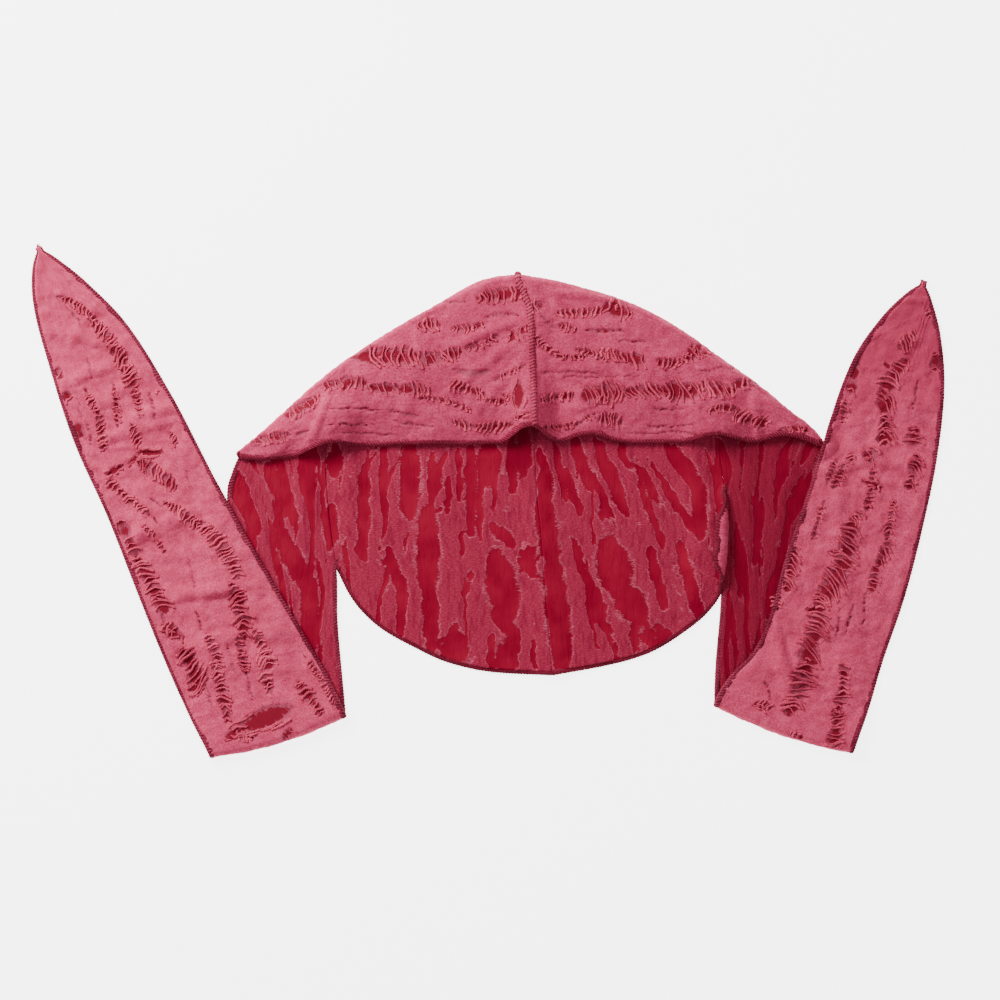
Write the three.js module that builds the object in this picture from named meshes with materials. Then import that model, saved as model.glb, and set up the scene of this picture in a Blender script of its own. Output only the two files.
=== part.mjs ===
// A durag laid flat: a two-panel crown folded forehead over nape, a round tail and two long tie straps.
// Millimetres, +Z up. X runs across the head, +Y from the tail towards the fold over the crown.

import * as THREE from 'three'

// Driving sizes
const clothThickness = 1.4
const clearance = 0.3
const jointGap = 0.5
const crownHalfWidth = 184
const crownHeight = 110
const sideHalfWidth = 124
const tailDepth = 148
const jointRise = 22
const cornerRise = { left: -6.5, right: 1.5 }
const foldGap = 7.5
const hemGap = 4.4
const billow = 4.5
const foldLift = 7.5
const slitDrop = { left: 78, right: 29 }
const strapWidth = 93.5
const strapDrop = { left: 187, right: 182 }
const strapSlant = { left: 25, right: 29 }
const strapFoldGap = 5
const strapReach = { left: 352, right: 303 }
const strapLean = { left: -26.1, right: 17.5 }
const strapTip = 3
const bottomBow = 4
const seamWidth = 4.6
const seamHeight = 1.8
const seamInset = 1.5
const edgingWidth = 2
const edgingThickness = 1.8
const edgeLift = 0.4
const shoulder = 6
const rollWidth = 4.5
const rollTurn = 160
const rollOverlap = 3.5
const rollLift = 2.8
const rollClearance = 0.25
const rollFlatness = 0.6
const rimWidth = 8
const slitLead = 4
const slitEase = 6
const shoulderRun = 14
const foldFade = 32

// Shares: where the layers start to close towards the corner, and what is left of their gaps and folds
// there; where a strap starts to turn into its bottom fold, where its root narrows, and how far up from
// the fold it settles on its axis
const closingStart = 0.7
const cornerHemShare = 0.65
const cornerFoldShare = 0.4
const cornerLiftShare = 0.5
const turnStart = 0.75
const rootShare = 0.08
const innerRimStart = 0.1
const settledShare = 0.14
const waveSpread = 0.8
const cornerSlopeEnd = 0.8
const overSeamClearances = 2.5
const seamClearances = 1.5

// Height of the crown's fold above the hem line, as a share of the crown height
const domeRows = [
  { across: 0.000, left: 0.990, right: 0.990 },
  { across: 0.086, left: 0.975, right: 0.965 },
  { across: 0.172, left: 0.936, right: 0.928 },
  { across: 0.344, left: 0.788, right: 0.834 },
  { across: 0.516, left: 0.616, right: 0.690 },
  { across: 0.688, left: 0.410, right: 0.494 },
  { across: 0.860, left: 0.157, right: 0.285 },
  { across: 0.946, left: 0.030, right: 0.145 },
  { across: 1.000, left: -0.027, right: 0.050 }
]

// Level of the front hem between its folds, as a share of the crown height
const hemRows = [
  { across: 0.00, left: 0.006, right: 0.006 },
  { across: 0.50, left: -0.003, right: 0.012 },
  { across: 0.64, left: -0.020, right: 0.012 },
  { across: 0.76, left: -0.055, right: 0.012 },
  { across: 0.88, left: -0.086, right: 0.012 },
  { across: 1.00, left: -0.086, right: -0.030 }
]

// Folds that raise the front hem. At and spread are shares of the crown's half width, back (how far the
// hem draws back there) of the crown height, lift of foldLift, reach of the layer's depth; lean is the
// sideways run of the crest for each millimetre up.
const frontFolds = [
  { at: -0.920, spread: 0.090, back: 0.000, lift: 0.25, reach: 0.6, lean: 0.40 },
  { at: -0.690, spread: 0.120, back: 0.040, lift: 0.90, reach: 0.9, lean: 0.15 },
  { at: -0.360, spread: 0.120, back: 0.004, lift: 0.15, reach: 0.5, lean: 0.00 },
  { at: -0.016, spread: 0.108, back: 0.100, lift: 1.00, reach: 0.5, lean: 0.00 },
  { at: 0.198, spread: 0.129, back: 0.052, lift: 0.40, reach: 0.4, lean: 0.00 },
  { at: 0.660, spread: 0.130, back: 0.045, lift: 0.85, reach: 0.8, lean: -0.10 },
  { at: 0.915, spread: 0.118, back: 0.045, lift: 0.60, reach: 0.6, lean: -0.30 }
]

// Depth of the tail below the hem line, as a share of the tail's depth
const tailRows = [
  { across: 0.00, left: 0.996, right: 0.996 },
  { across: 0.30, left: 0.981, right: 0.960 },
  { across: 0.50, left: 0.940, right: 0.926 },
  { across: 0.65, left: 0.876, right: 0.884 },
  { across: 0.80, left: 0.796, right: 0.814 },
  { across: 0.90, left: 0.710, right: 0.753 },
  { across: 0.96, left: 0.631, right: 0.700 },
  { across: 1.00, left: 0.550, right: 0.650 }
]

// Line from the crown's fold down to the bottom of the strap, shared by the panel's side and the strap's
// inner edge: drop as a share of strapDrop, the place as a share of sideHalfWidth
const sideRows = [
  { drop: -0.30, left: 1.000, right: 1.000 },
  { drop: -0.12, left: 1.000, right: 1.000 },
  { drop: 0.00, left: 1.028, right: 1.000 },
  { drop: 0.16, left: 1.022, right: 1.030 },
  { drop: 0.33, left: 0.995, right: 1.030 },
  { drop: 0.44, left: 0.970, right: 1.018 },
  { drop: 0.60, left: 0.966, right: 1.004 },
  { drop: 0.80, left: 0.940, right: 0.978 },
  { drop: 1.00, left: 0.905, right: 0.962 }
]

// Outer edge of the strap's down-going part, as a share of the crown's half width
const outerRows = [
  { drop: 0.00, left: 0.990, right: 1.000 },
  { drop: 0.12, left: 1.032, right: 1.020 },
  { drop: 0.20, left: 1.038, right: 1.035 },
  { drop: 1.10, left: 1.098, right: 1.143 }
]

// Half widths of the strap's up-going part to each side of its axis, as shares of half the strap width
const strapRows = [
  { along: 0.08, leftInner: 0.98, leftOuter: 0.98, rightInner: 0.80, rightOuter: 1.05 },
  { along: 0.20, leftInner: 0.91, leftOuter: 0.95, rightInner: 0.65, rightOuter: 1.03 },
  { along: 0.35, leftInner: 0.83, leftOuter: 0.87, rightInner: 0.68, rightOuter: 1.05 },
  { along: 0.50, leftInner: 0.78, leftOuter: 0.78, rightInner: 0.66, rightOuter: 1.00 },
  { along: 0.65, leftInner: 0.75, leftOuter: 0.74, rightInner: 0.67, rightOuter: 0.90 },
  { along: 0.80, leftInner: 0.63, leftOuter: 0.58, rightInner: 0.61, rightOuter: 0.70 },
  { along: 0.90, leftInner: 0.39, leftOuter: 0.43, rightInner: 0.41, rightOuter: 0.44 },
  { along: 0.96, leftInner: 0.18, leftOuter: 0.24, rightInner: 0.20, rightOuter: 0.20 },
  { along: 1.00, leftInner: 0.00, leftOuter: 0.00, rightInner: 0.00, rightOuter: 0.00 }
]

// Bends of the centre seam: at is a share of the crown height, aside of its half width
const seamRows = [
  { at: -1.35, aside: 0.096 },
  { at: -0.70, aside: 0.063 },
  { at: -0.50, aside: 0.055 },
  { at: -0.27, aside: 0.041 },
  { at: 0.00, aside: 0.034 },
  { at: 0.48, aside: 0.026 },
  { at: 0.76, aside: 0.018 },
  { at: 0.86, aside: 0.000 },
  { at: 0.98, aside: -0.034 }
]

// Soft ridges of the layer on the floor: at and spread are shares of sideHalfWidth, from and to of the
// tail's depth below the hem line, height of the cloth's thickness; lean is the sideways run per
// millimetre down
const floorRidges = [
  { at: -1.13, spread: 0.11, height: 1.5, from: -0.16, to: 0.62, lean: -0.05 },
  { at: -0.93, spread: 0.10, height: 1.3, from: -0.16, to: 0.52, lean: 0.06 },
  { at: -0.45, spread: 0.16, height: 0.6, from: -0.30, to: 0.50, lean: 0.05 },
  { at: 0.34, spread: 0.14, height: 0.6, from: -0.30, to: 0.60, lean: 0.15 },
  { at: 0.86, spread: 0.10, height: 1.3, from: -0.16, to: 0.55, lean: 0.05 },
  { at: 1.13, spread: 0.12, height: 1.5, from: -0.16, to: 0.70, lean: 0.00 },
  { at: 1.32, spread: 0.12, height: 1.0, from: -0.02, to: 0.70, lean: -0.10 }
]

// Gentle waves along a strap's up-going part: along is its share, height of the cloth's thickness
const strapWaves = [
  { along: 0.30, spread: 0.10, height: 0.8, side: 0.75 },
  { along: 0.52, spread: 0.12, height: 0.9, side: 0.20 },
  { along: 0.74, spread: 0.10, height: 0.8, side: 0.70 },
  { along: 0.90, spread: 0.08, height: 0.9, side: 0.30 }
]

// Smooth functions
const clamp = (value) => Math.min(Math.max(value, 0), 1)
const mix = (a, b, share) => a + (b - a) * share
const ease = (value) => clamp(value) ** 2 * (3 - 2 * clamp(value))
const bump = (offset) => (Math.abs(offset) < 1 ? (1 - offset * offset) ** 2 : 0)

function readTable(rows, key, column, where) {
  const at = THREE.MathUtils.clamp(where, rows[0][key], rows[rows.length - 1][key])
  let row = 0
  while (row < rows.length - 2 && at > rows[row + 1][key]) row += 1
  const slope = (first, second) =>
    (rows[second][column] - rows[first][column]) / (rows[second][key] - rows[first][key])
  const tangent = (index) =>
    slope(Math.max(index - 1, 0), Math.min(index + 1, rows.length - 1))
  const span = rows[row + 1][key] - rows[row][key]
  const t = (at - rows[row][key]) / span
  const start = rows[row][column] * (1 + 2 * t) * (1 - t) ** 2 + tangent(row) * span * t * (1 - t) ** 2
  const end = rows[row + 1][column] * t * t * (3 - 2 * t) - tangent(row + 1) * span * t * t * (1 - t)
  return start + end
}

// Lines of the laid crown
const edgingReach = clearance + edgingWidth
const sideShare = sideHalfWidth / crownHalfWidth
const seamX = (y) => crownHalfWidth * readTable(seamRows, 'at', 'aside', y / crownHeight)
const domeY = (side, share) => crownHeight * readTable(domeRows, 'across', side.name, share)
const sideX = (side, y) =>
  side.sign * sideHalfWidth * readTable(sideRows, 'drop', side.name, -y / strapDrop[side.name])
const outerX = (side, y) =>
  side.sign * crownHalfWidth * readTable(outerRows, 'drop', side.name, -y / strapDrop[side.name])
const jointY = (side, share) =>
  mix(jointRise, cornerRise[side.name], clamp((share - sideShare) / (1 - sideShare)))
const tailY = (side, share) =>
  -tailDepth * readTable(tailRows, 'across', side.name, share) + edgingReach

function hemY(side, share) {
  const level = readTable(hemRows, 'across', side.name, share)
  const drawn = frontFolds.reduce((sum, fold) =>
    sum + fold.back * bump((side.sign * share - fold.at) / fold.spread), 0)
  return crownHeight * (level + drawn) + edgingReach
}

// How far the slit between the tail and a strap has opened at a height
const slitOpening = (side, y) => ease((slitLead - slitDrop[side.name] - y) / slitEase)

// Height of the cloth's middle over the floor
function floorLift(x, y) {
  const ridges = floorRidges.reduce((sum, ridge) => {
    const down = -y / tailDepth
    const middle = (ridge.from + ridge.to) / 2
    const crest = ridge.at * sideHalfWidth - ridge.lean * y
    return sum + ridge.height * clothThickness * bump((x - crest) / (ridge.spread * sideHalfWidth)) *
      bump((down - middle) / (ridge.to - middle))
  }, 0)
  const fromSeam = Math.abs(x - seamX(y)) - seamWidth / 2
  const overSeam = (seamHeight + overSeamClearances * clearance) * (1 - ease(fromSeam / (3 * seamWidth)))
  return ridges + overSeam
}
const floorZ = (x, y) => clothThickness / 2 + floorLift(x, y)

function layerGap(side, share, rise) {
  const narrowing = ease((share - closingStart) / (1 - closingStart))
  const atHem = hemGap * mix(1, cornerHemShare, narrowing)
  const atFold = foldGap * mix(1, cornerFoldShare, narrowing)
  const even = mix(atHem, atFold, rise) + billow * (1 - narrowing) * 4 * rise * (1 - rise)
  const hem = hemY(side, share)
  const depth = domeY(side, share) - hem
  const raised = frontFolds.reduce((sum, fold) => {
    const crest = fold.at + fold.lean * depth * rise / crownHalfWidth
    const fade = 1 - ease(rise / fold.reach)
    return sum + foldLift * fold.lift * fade * bump((side.sign * share - crest) / fold.spread)
  }, 0)
  return even + raised * mix(1, cornerLiftShare, narrowing)
}

// One point of a crown panel's middle surface. Share runs from the centre seam to the corner; along runs
// 0 to 1 up the forehead layer, 1 to 2 round the fold, 2 to 3 down to the joint line and 3 to 4 to the
// tail hem.
function crownPoint(side, share, along) {
  const turnRadius = layerGap(side, share, 1) / 2
  const turnY = domeY(side, share) - turnRadius - clothThickness / 2
  const inward = clamp(share / sideShare)
  const place = (y, stop) => {
    const center = seamX(y) + side.sign * clearance / 2
    return share <= sideShare
      ? mix(center, stop, inward)
      : side.sign * crownHalfWidth * share
  }
  const straight = side.sign * sideHalfWidth
  if (along <= 1) {
    const y = mix(hemY(side, share), turnY, along)
    const x = place(y, straight)
    return new THREE.Vector3(x, y, floorZ(x, y) + layerGap(side, share, along))
  }
  if (along < 2) {
    const turn = (along - 1) * Math.PI
    const x = place(turnY, straight)
    const y = turnY + turnRadius * Math.sin(turn)
    return new THREE.Vector3(x, y, floorZ(x, turnY) + turnRadius * (1 + Math.cos(turn)))
  }
  if (along <= 3) {
    const y = mix(turnY, jointY(side, share), along - 2)
    const x = place(y, sideX(side, y) - side.sign * jointGap / 2)
    return new THREE.Vector3(x, y, floorZ(x, y))
  }
  const hem = tailY(side, inward)
  const y = mix(jointY(side, share), hem, along - 3)
  const slit = slitOpening(side, y)
  const sideLine = sideX(side, y) - side.sign * (jointGap / 2 + edgingReach * slit)
  const x = place(y, sideLine)
  const point = new THREE.Vector3(x, y, floorZ(x, y))
  const sideRim = slit * (1 - Math.abs(sideLine - x) / rimWidth)
  point.z += edgeLift * ease(Math.max(1 - (y - hem) / rimWidth, sideRim))
  if (side.roll) rollSideHem(side, point, sideLine, hem)
  return point
}

// The tail's side hem rolls up and over, above the strap beside it
function rollSideHem(side, point, sideLine, hem) {
  const top = -slitDrop[side.name]
  const middle = mix(top, hem, 0.5)
  const strength = bump((point.y - middle) / (top - middle + rimWidth))
  const fromLine = Math.abs(sideLine - point.x)
  point.z += rollLift * strength * (1 - ease((fromLine - 2 * rollWidth) / (2 * rollWidth)))
  point.x += side.sign * rollOverlap * strength * (1 - ease((fromLine - rollWidth) / (2 * rollWidth)))
  const along = clamp(1 - fromLine / rollWidth)
  const turn = Math.max(THREE.MathUtils.degToRad(rollTurn) * strength, 0.01)
  const radius = rollWidth / (turn < Math.PI / 2 ? Math.sin(turn) : 1)
  point.x += side.sign * (radius * Math.sin(turn * along) - rollWidth * along)
  point.z += rollFlatness * radius * (1 - Math.cos(turn * along))
}

// One point of a strap's middle surface. Along runs 0 to 1 down from the joint line, 1 to 2 round the
// bottom fold and 2 to 3 up to the tip; across runs from the inner edge to the outer one.
function strapPoint(side, along, across) {
  const inset = clearance / 2 + edgingReach
  const innerEnd = foldEnd(side, 0)
  const outerEnd = foldEnd(side, 1)
  const foldLine = (share) => {
    const point = innerEnd.clone().lerp(outerEnd, share)
    point.y -= bottomBow * 4 * share * (1 - share)
    return point
  }
  const radius = strapFoldGap / 2
  const foldAway = new THREE.Vector2(outerEnd.y - innerEnd.y, innerEnd.x - outerEnd.x)
    .normalize().multiplyScalar(side.sign)
  const end = foldLine(across).addScaledVector(foldAway, -radius - clothThickness / 2)
  if (along <= 1) {
    const innerY = mix(jointY(side, sideShare) - jointGap, foldEnd(side, 0).y, along)
    const outerY = mix(jointY(side, 1) - jointGap, foldEnd(side, 1).y, along)
    const slit = slitOpening(side, innerY)
    const innerX = sideX(side, innerY) + side.sign * (jointGap / 2 + edgingReach * slit)
    const outerEdge = outerX(side, outerY) - side.sign * inset * ease(along / rootShare)
    const flat = new THREE.Vector2(mix(innerX, outerEdge, across), mix(innerY, outerY, across))
    flat.lerp(end, ease((along - turnStart) / (1 - turnStart)) ** 2)
    const fromEdge = Math.min(across, 1 - across) * strapWidth
    const rim = across > 0.5 ? 1 : ease(along / innerRimStart - 1)
    const lift = edgeLift * ease(1 - fromEdge / rimWidth) * rim
    return new THREE.Vector3(flat.x, flat.y, floorZ(flat.x, flat.y) + lift)
  }
  if (along < 2) {
    const turn = (along - 1) * Math.PI
    const out = end.clone().addScaledVector(foldAway, radius * Math.sin(turn))
    const fromEdge = Math.min(across, 1 - across) * strapWidth
    const base = floorZ(end.x, end.y) + edgeLift * ease(1 - fromEdge / rimWidth)
    return new THREE.Vector3(out.x, out.y, base + radius * (1 - Math.cos(turn)))
  }
  return upGoingPoint(side, along - 2, across, end, inset)
}

function foldEnd(side, across) {
  const drop = strapDrop[side.name] + strapSlant[side.name] * (across - 0.5)
  const edge = across === 0 ? sideX(side, -drop) : outerX(side, -drop)
  const inset = side.sign * (clearance / 2 + edgingReach)
  return new THREE.Vector2(edge + (across === 0 ? inset : -inset), -drop)
}

function upGoingPoint(side, along, across, start, inset) {
  const lean = THREE.MathUtils.degToRad(strapLean[side.name])
  const up = new THREE.Vector2(Math.sin(lean), Math.cos(lean))
  const out = new THREE.Vector2(up.y, -up.x).multiplyScalar(side.sign)
  const center = foldEnd(side, 0).lerp(foldEnd(side, 1), 0.5)
  const reach = strapReach[side.name] * along
  const half = strapWidth / 2
  const innerShare = readTable(strapRows, 'along', side.name + 'Inner', along)
  const outerShare = readTable(strapRows, 'along', side.name + 'Outer', along)
  const inner = -Math.max(half * innerShare - inset, strapTip / 2)
  const outer = Math.max(half * outerShare - inset, strapTip / 2)
  const settled = ease(along / settledShare)
  const offset = start.clone().sub(center)
  const sideways = mix(offset.dot(out), mix(inner, outer, across), settled)
  const forward = reach * (1 - inset / strapReach[side.name]) + offset.dot(up) * (1 - settled)
  const flat = center.clone().addScaledVector(up, forward).addScaledVector(out, sideways)
  const fromEdge = Math.min(across, 1 - across) * (outer - inner)
  const waves = strapWaves.reduce((sum, wave) => sum + wave.height * clothThickness *
    bump((along - wave.along) / wave.spread) * bump((across - wave.side) / waveSpread), 0)
  const rest = clothThickness / 2 + edgeLift * ease(1 - fromEdge / rimWidth) + waves
  const opened = strapFoldGap - clothThickness - 2 * clearance
  const nearFold = opened * (1 - ease(reach / foldFade))
  return new THREE.Vector3(flat.x, flat.y, rest + supportHeight(side, flat, nearFold))
}

// Height of what lies under a strap's up-going part: its own down-going part and the crown's corner
function supportHeight(side, flat, nearFold) {
  const lowLayer = edgingThickness + 2 * clearance
  const pastEdge = side.sign * (flat.x - outerX(side, flat.y)) - clearance
  const onStrap = 1 - ease((pastEdge - shoulder) / shoulderRun)
  const strapLift = (lowLayer + edgeLift + floorLift(flat.x, flat.y) + nearFold) * onStrap
  const corner = new THREE.Vector2(side.sign * crownHalfWidth, crownHeight *
    (readTable(domeRows, 'across', side.name, 1) + readTable(hemRows, 'across', side.name, 1)) / 2)
  const upper = new THREE.Vector2(side.sign * crownHalfWidth * cornerSlopeEnd, domeY(side, cornerSlopeEnd))
  const slope = upper.clone().sub(corner)
  const share = clamp(flat.clone().sub(corner).dot(slope) / slope.lengthSq())
  const away = flat.distanceTo(corner.clone().addScaledVector(slope, share))
  const crownTop = 2 * clothThickness + hemGap * cornerHemShare
  return Math.max(strapLift, crownTop * (1 - ease((away - shoulder) / shoulderRun)))
}

// A sheet is a grid of middle points with their normals; a null marks a place without cloth. The lane that
// meets the other half's cloth stands square to the seam.
function sheetOf(grid, seamLane) {
  const at = (i, j) => (grid[i] && grid[i][j]) || null
  const difference = (i, j, di, dj) => {
    const before = at(i - di, j - dj) || at(i, j)
    const after = at(i + di, j + dj) || at(i, j)
    return after.clone().sub(before)
  }
  const normals = grid.map((line, i) => line.map((point, j) => {
    if (!point) return null
    const normal = difference(i, j, 1, 0).cross(difference(i, j, 0, 1))
    if (i === seamLane) normal.x = 0
    return normal.normalize()
  }))
  return { grid, normals }
}

// Closed wall of cloth around the middle points of a sheet
function clothWall({ grid, normals }) {
  const at = (i, j) => (grid[i] && grid[i][j]) || null
  const cell = (i, j) => at(i, j) && at(i + 1, j) && at(i, j + 1) && at(i + 1, j + 1)
  const positions = []
  const index = new Map()
  grid.forEach((line, i) => line.forEach((point, j) => {
    if (!point) return
    index.set(`${i},${j}`, positions.length / 6)
    const half = normals[i][j].clone().multiplyScalar(clothThickness / 2)
    positions.push(...point.clone().add(half).toArray(), ...point.clone().sub(half).toArray())
  }))
  const upper = (i, j) => 2 * index.get(`${i},${j}`)
  const lower = (i, j) => upper(i, j) + 1
  const triangles = []
  const quad = (a, b, c, d) => triangles.push(a, b, c, a, c, d)
  for (let i = 0; i < grid.length - 1; i += 1) {
    for (let j = 0; j < grid[i].length - 1; j += 1) {
      if (!cell(i, j)) continue
      quad(upper(i, j), upper(i + 1, j), upper(i + 1, j + 1), upper(i, j + 1))
      quad(lower(i, j), lower(i, j + 1), lower(i + 1, j + 1), lower(i + 1, j))
      const rim = [
        [i, j - 1, i, j, i + 1, j],
        [i + 1, j, i + 1, j, i + 1, j + 1],
        [i, j + 1, i + 1, j + 1, i, j + 1],
        [i - 1, j, i, j + 1, i, j]
      ]
      for (const [ni, nj, ai, aj, bi, bj] of rim) {
        if (!cell(ni, nj)) quad(lower(ai, aj), lower(bi, bj), upper(bi, bj), upper(ai, aj))
      }
    }
  }
  return solidGeometry(positions, triangles)
}

// Closed bar swept along frames of a centre, an outward and an upward direction
function sweptBar(frames, section) {
  const positions = frames.flatMap((frame) => section.flatMap(([out, up]) =>
    frame.center.clone().addScaledVector(frame.out, out).addScaledVector(frame.up, up).toArray()))
  const count = section.length
  const triangles = []
  for (let step = 0; step < frames.length - 1; step += 1) {
    for (let k = 0; k < count; k += 1) {
      const next = (k + 1) % count
      const here = step * count
      const ahead = here + count
      triangles.push(here + k, here + next, ahead + next, here + k, ahead + next, ahead + k)
    }
  }
  const last = (frames.length - 1) * count
  for (let k = 1; k < count - 1; k += 1) {
    triangles.push(0, k + 1, k, last, last + k, last + k + 1)
  }
  return solidGeometry(positions, triangles)
}

function solidGeometry(positions, triangles) {
  const corner = (index) => new THREE.Vector3().fromArray(positions, 3 * index)
  let volume = 0
  for (let k = 0; k < triangles.length; k += 3) {
    const [a, b, c] = [corner(triangles[k]), corner(triangles[k + 1]), corner(triangles[k + 2])]
    volume += a.dot(b.cross(c)) / 6
  }
  const outward = volume > 0 ? triangles : triangles.slice().reverse()
  const geometry = new THREE.BufferGeometry()
  geometry.setAttribute('position', new THREE.Float32BufferAttribute(positions, 3))
  geometry.setIndex(outward)
  geometry.computeVertexNormals()
  return geometry
}

// A place on a sheet's edge, with a place further in that tells which way is out
const edgePlace = (sheet, i, j, insideI, insideJ) => ({
  point: sheet.grid[i][j],
  up: sheet.normals[i][j],
  inside: sheet.grid[insideI][insideJ]
})

// Frames along a run of edge places: their centre, the way out of the cloth and the way up from it
function edgeFrames(run) {
  return run.map(({ point, up, inside }, k) => {
    const before = (run[k - 1] || run[k]).point
    const after = (run[k + 1] || run[k]).point
    const travel = after.clone().sub(before)
    const out = up.clone().cross(travel).normalize()
    if (out.dot(inside.clone().sub(point)) > 0) out.negate()
    const outerFace = out.clone().cross(up).dot(travel) > 0 ? up : up.clone().negate()
    return { center: point, out, up: outerFace }
  })
}

const halfEdging = edgingThickness / 2
const edgingSection = [
  [clearance, -halfEdging * 0.8],
  [clearance + edgingWidth * 0.6, -halfEdging],
  [clearance + edgingWidth, -halfEdging * 0.3],
  [clearance + edgingWidth, halfEdging * 0.3],
  [clearance + edgingWidth * 0.6, halfEdging],
  [clearance, halfEdging * 0.8]
]
const seamBase = clothThickness / 2 + seamClearances * clearance
const seamSection = [
  [-seamWidth / 2, seamBase],
  [seamWidth / 2, seamBase],
  [seamWidth / 2, seamBase + seamHeight * 0.5],
  [seamWidth * 0.3, seamBase + seamHeight],
  [-seamWidth * 0.3, seamBase + seamHeight],
  [-seamWidth / 2, seamBase + seamHeight * 0.5]
]

const steps = (from, to, count) =>
  Array.from({ length: count + 1 }, (_, k) => mix(from, to, k / count))

// Columns and rows of the crown panels and the straps
const panelColumns = 14
const rolledPanelColumns = 11
const rollColumns = 4
const cornerColumns = 7
const rollLead = 0.08
function panelShares(side) {
  const rollStart = 1 - rollWidth / sideHalfWidth
  const inner = side.roll
    ? [...steps(0, rollStart - rollLead, rolledPanelColumns),
      ...steps(rollStart - rollLead / 2, 1, rollColumns + 1)]
    : steps(0, 1, panelColumns)
  return [...inner.map((share) => share * sideShare), ...steps(sideShare, 1, cornerColumns).slice(1)]
}
const frontRows = 9
const foldRows = 6
const napeRows = 3
const tailRowCount = 16
const panelRows = [...steps(0, 1, frontRows), ...steps(1, 2, foldRows).slice(1),
  ...steps(2, 3, napeRows).slice(1), ...steps(3, 4, tailRowCount).slice(1)]
const strapDownRows = 14
const strapTurnRows = 6
const strapUpRows = 24
const strapLanes = [0, 0.06, 0.22, 0.4, 0.6, 0.78, 0.94, 1]

function panelGrid(side) {
  return panelShares(side).map((share) => panelRows.map((along) =>
    share > sideShare + 1e-9 && along > 3 ? null : crownPoint(side, share, along)))
}

function strapGrid(side) {
  const rows = [...steps(0, 1, strapDownRows), ...steps(1, 2, strapTurnRows).slice(1),
    ...steps(2, 3, strapUpRows).slice(1)]
  return strapLanes.map((across) => rows.map((along) => strapPoint(side, along, across)))
}

// Places along the front hem, along the tail and up its free side, and round a strap from its outer root
// past the tip to the slit, where the edging starts a little way down
const edgingStart = 3
const frontRun = (sheet) => sheet.grid.map((line, i) => edgePlace(sheet, i, 0, i, 1))

function tailRun(side, sheet) {
  const last = panelRows.length - 1
  const columns = sheet.grid.map((line, i) => i).filter((i) => sheet.grid[i][last])
  const edge = columns[columns.length - 1]
  const bottom = columns.map((i) => edgePlace(sheet, i, last, Math.max(i - 2, 0), last - 4))
  const free = panelRows.map((along, j) => j).filter((j) => panelRows[j] > 3 && j < last &&
    sheet.grid[edge][j].y < -slitDrop[side.name] - edgingStart)
  return [...bottom, ...free.reverse().map((j) => edgePlace(sheet, edge, j, edge - 1, j))]
}

function strapRun(side, sheet) {
  const outer = strapLanes.length - 1
  const rows = sheet.grid[0].map((point, j) => j)
  const start = -slitDrop[side.name] - edgingStart
  const inner = rows.filter((j) => j > strapDownRows || sheet.grid[0][j].y < start)
  return [...rows.slice(1).map((j) => edgePlace(sheet, outer, j, outer - 1, j)),
    ...inner.reverse().map((j) => edgePlace(sheet, 0, j, 1, j))]
}

function material(color, roughness) {
  return new THREE.MeshStandardMaterial({ color, roughness, metalness: 0 })
}

function namedMesh(name, geometry, paint) {
  const mesh = new THREE.Mesh(geometry, paint)
  mesh.name = name
  return mesh
}

const sides = [
  { name: 'left', sign: -1, roll: false },
  { name: 'right', sign: 1, roll: true }
]
const crownCloth = material('#bb5769', 0.85)
const strapCloth = material('#c9657a', 0.85)
const thread = material('#a24459', 0.9)

const laid = new THREE.Group()
const panels = sides.map((side) => sheetOf(panelGrid(side), 0))
const straps = sides.map((side) => sheetOf(strapGrid(side)))

function addEdging(name, run, moved = (frame) => frame) {
  laid.add(namedMesh(name, sweptBar(edgeFrames(run).map(moved), edgingSection), thread))
}

sides.forEach((side, k) => {
  laid.add(namedMesh(`${side.name}_crown_panel`, clothWall(panels[k]), crownCloth))
  laid.add(namedMesh(`${side.name}_strap`, clothWall(straps[k]), strapCloth))
  addEdging(`${side.name}_strap_edging`, strapRun(side, straps[k]))
})

// The seam follows the inner column of the right panel, over the fold and under the nape layer
const seamLine = panels[1].grid[0]
const seamFrames = seamLine.map((point, k) => {
  const travel = (seamLine[k + 1] || point).clone().sub(seamLine[k - 1] || point).normalize()
  const out = new THREE.Vector3(1, 0, 0).addScaledVector(travel, -travel.x).normalize()
  const ending = k === 0 ? 1 : (k === seamLine.length - 1 ? -1 : 0)
  const center = point.clone().addScaledVector(out, -clearance / 2)
    .addScaledVector(travel, ending * seamInset)
  return { center, out, up: out.clone().cross(travel) }
})
laid.add(namedMesh('center_seam', sweptBar(seamFrames, seamSection), thread))

const [leftFront, rightFront] = panels.map(frontRun)
addEdging('front_edging', [...leftFront.reverse(), ...rightFront.slice(1)])

// The edging stands a little further off where the side hem rolls up
const [leftTail, rightTail] = sides.map((side, k) => tailRun(side, panels[k]))
const rollFoot = tailY(sides[1], 1)
addEdging('tail_edging', [...leftTail.reverse(), ...rightTail.slice(1)], (frame) => {
  const rolled = frame.center.x > 0 && frame.center.y > rollFoot + 1
  const center = frame.center.clone().addScaledVector(frame.out, rolled ? rollClearance : 0)
  return { ...frame, center }
})

// The origin is the middle of the bottom of the whole laid piece
const box = new THREE.Box3().setFromObject(laid)
const middle = box.getCenter(new THREE.Vector3())
laid.position.set(-middle.x, -middle.y, -box.min.z)

const durag = new THREE.Group()
durag.add(laid)

export default durag
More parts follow.
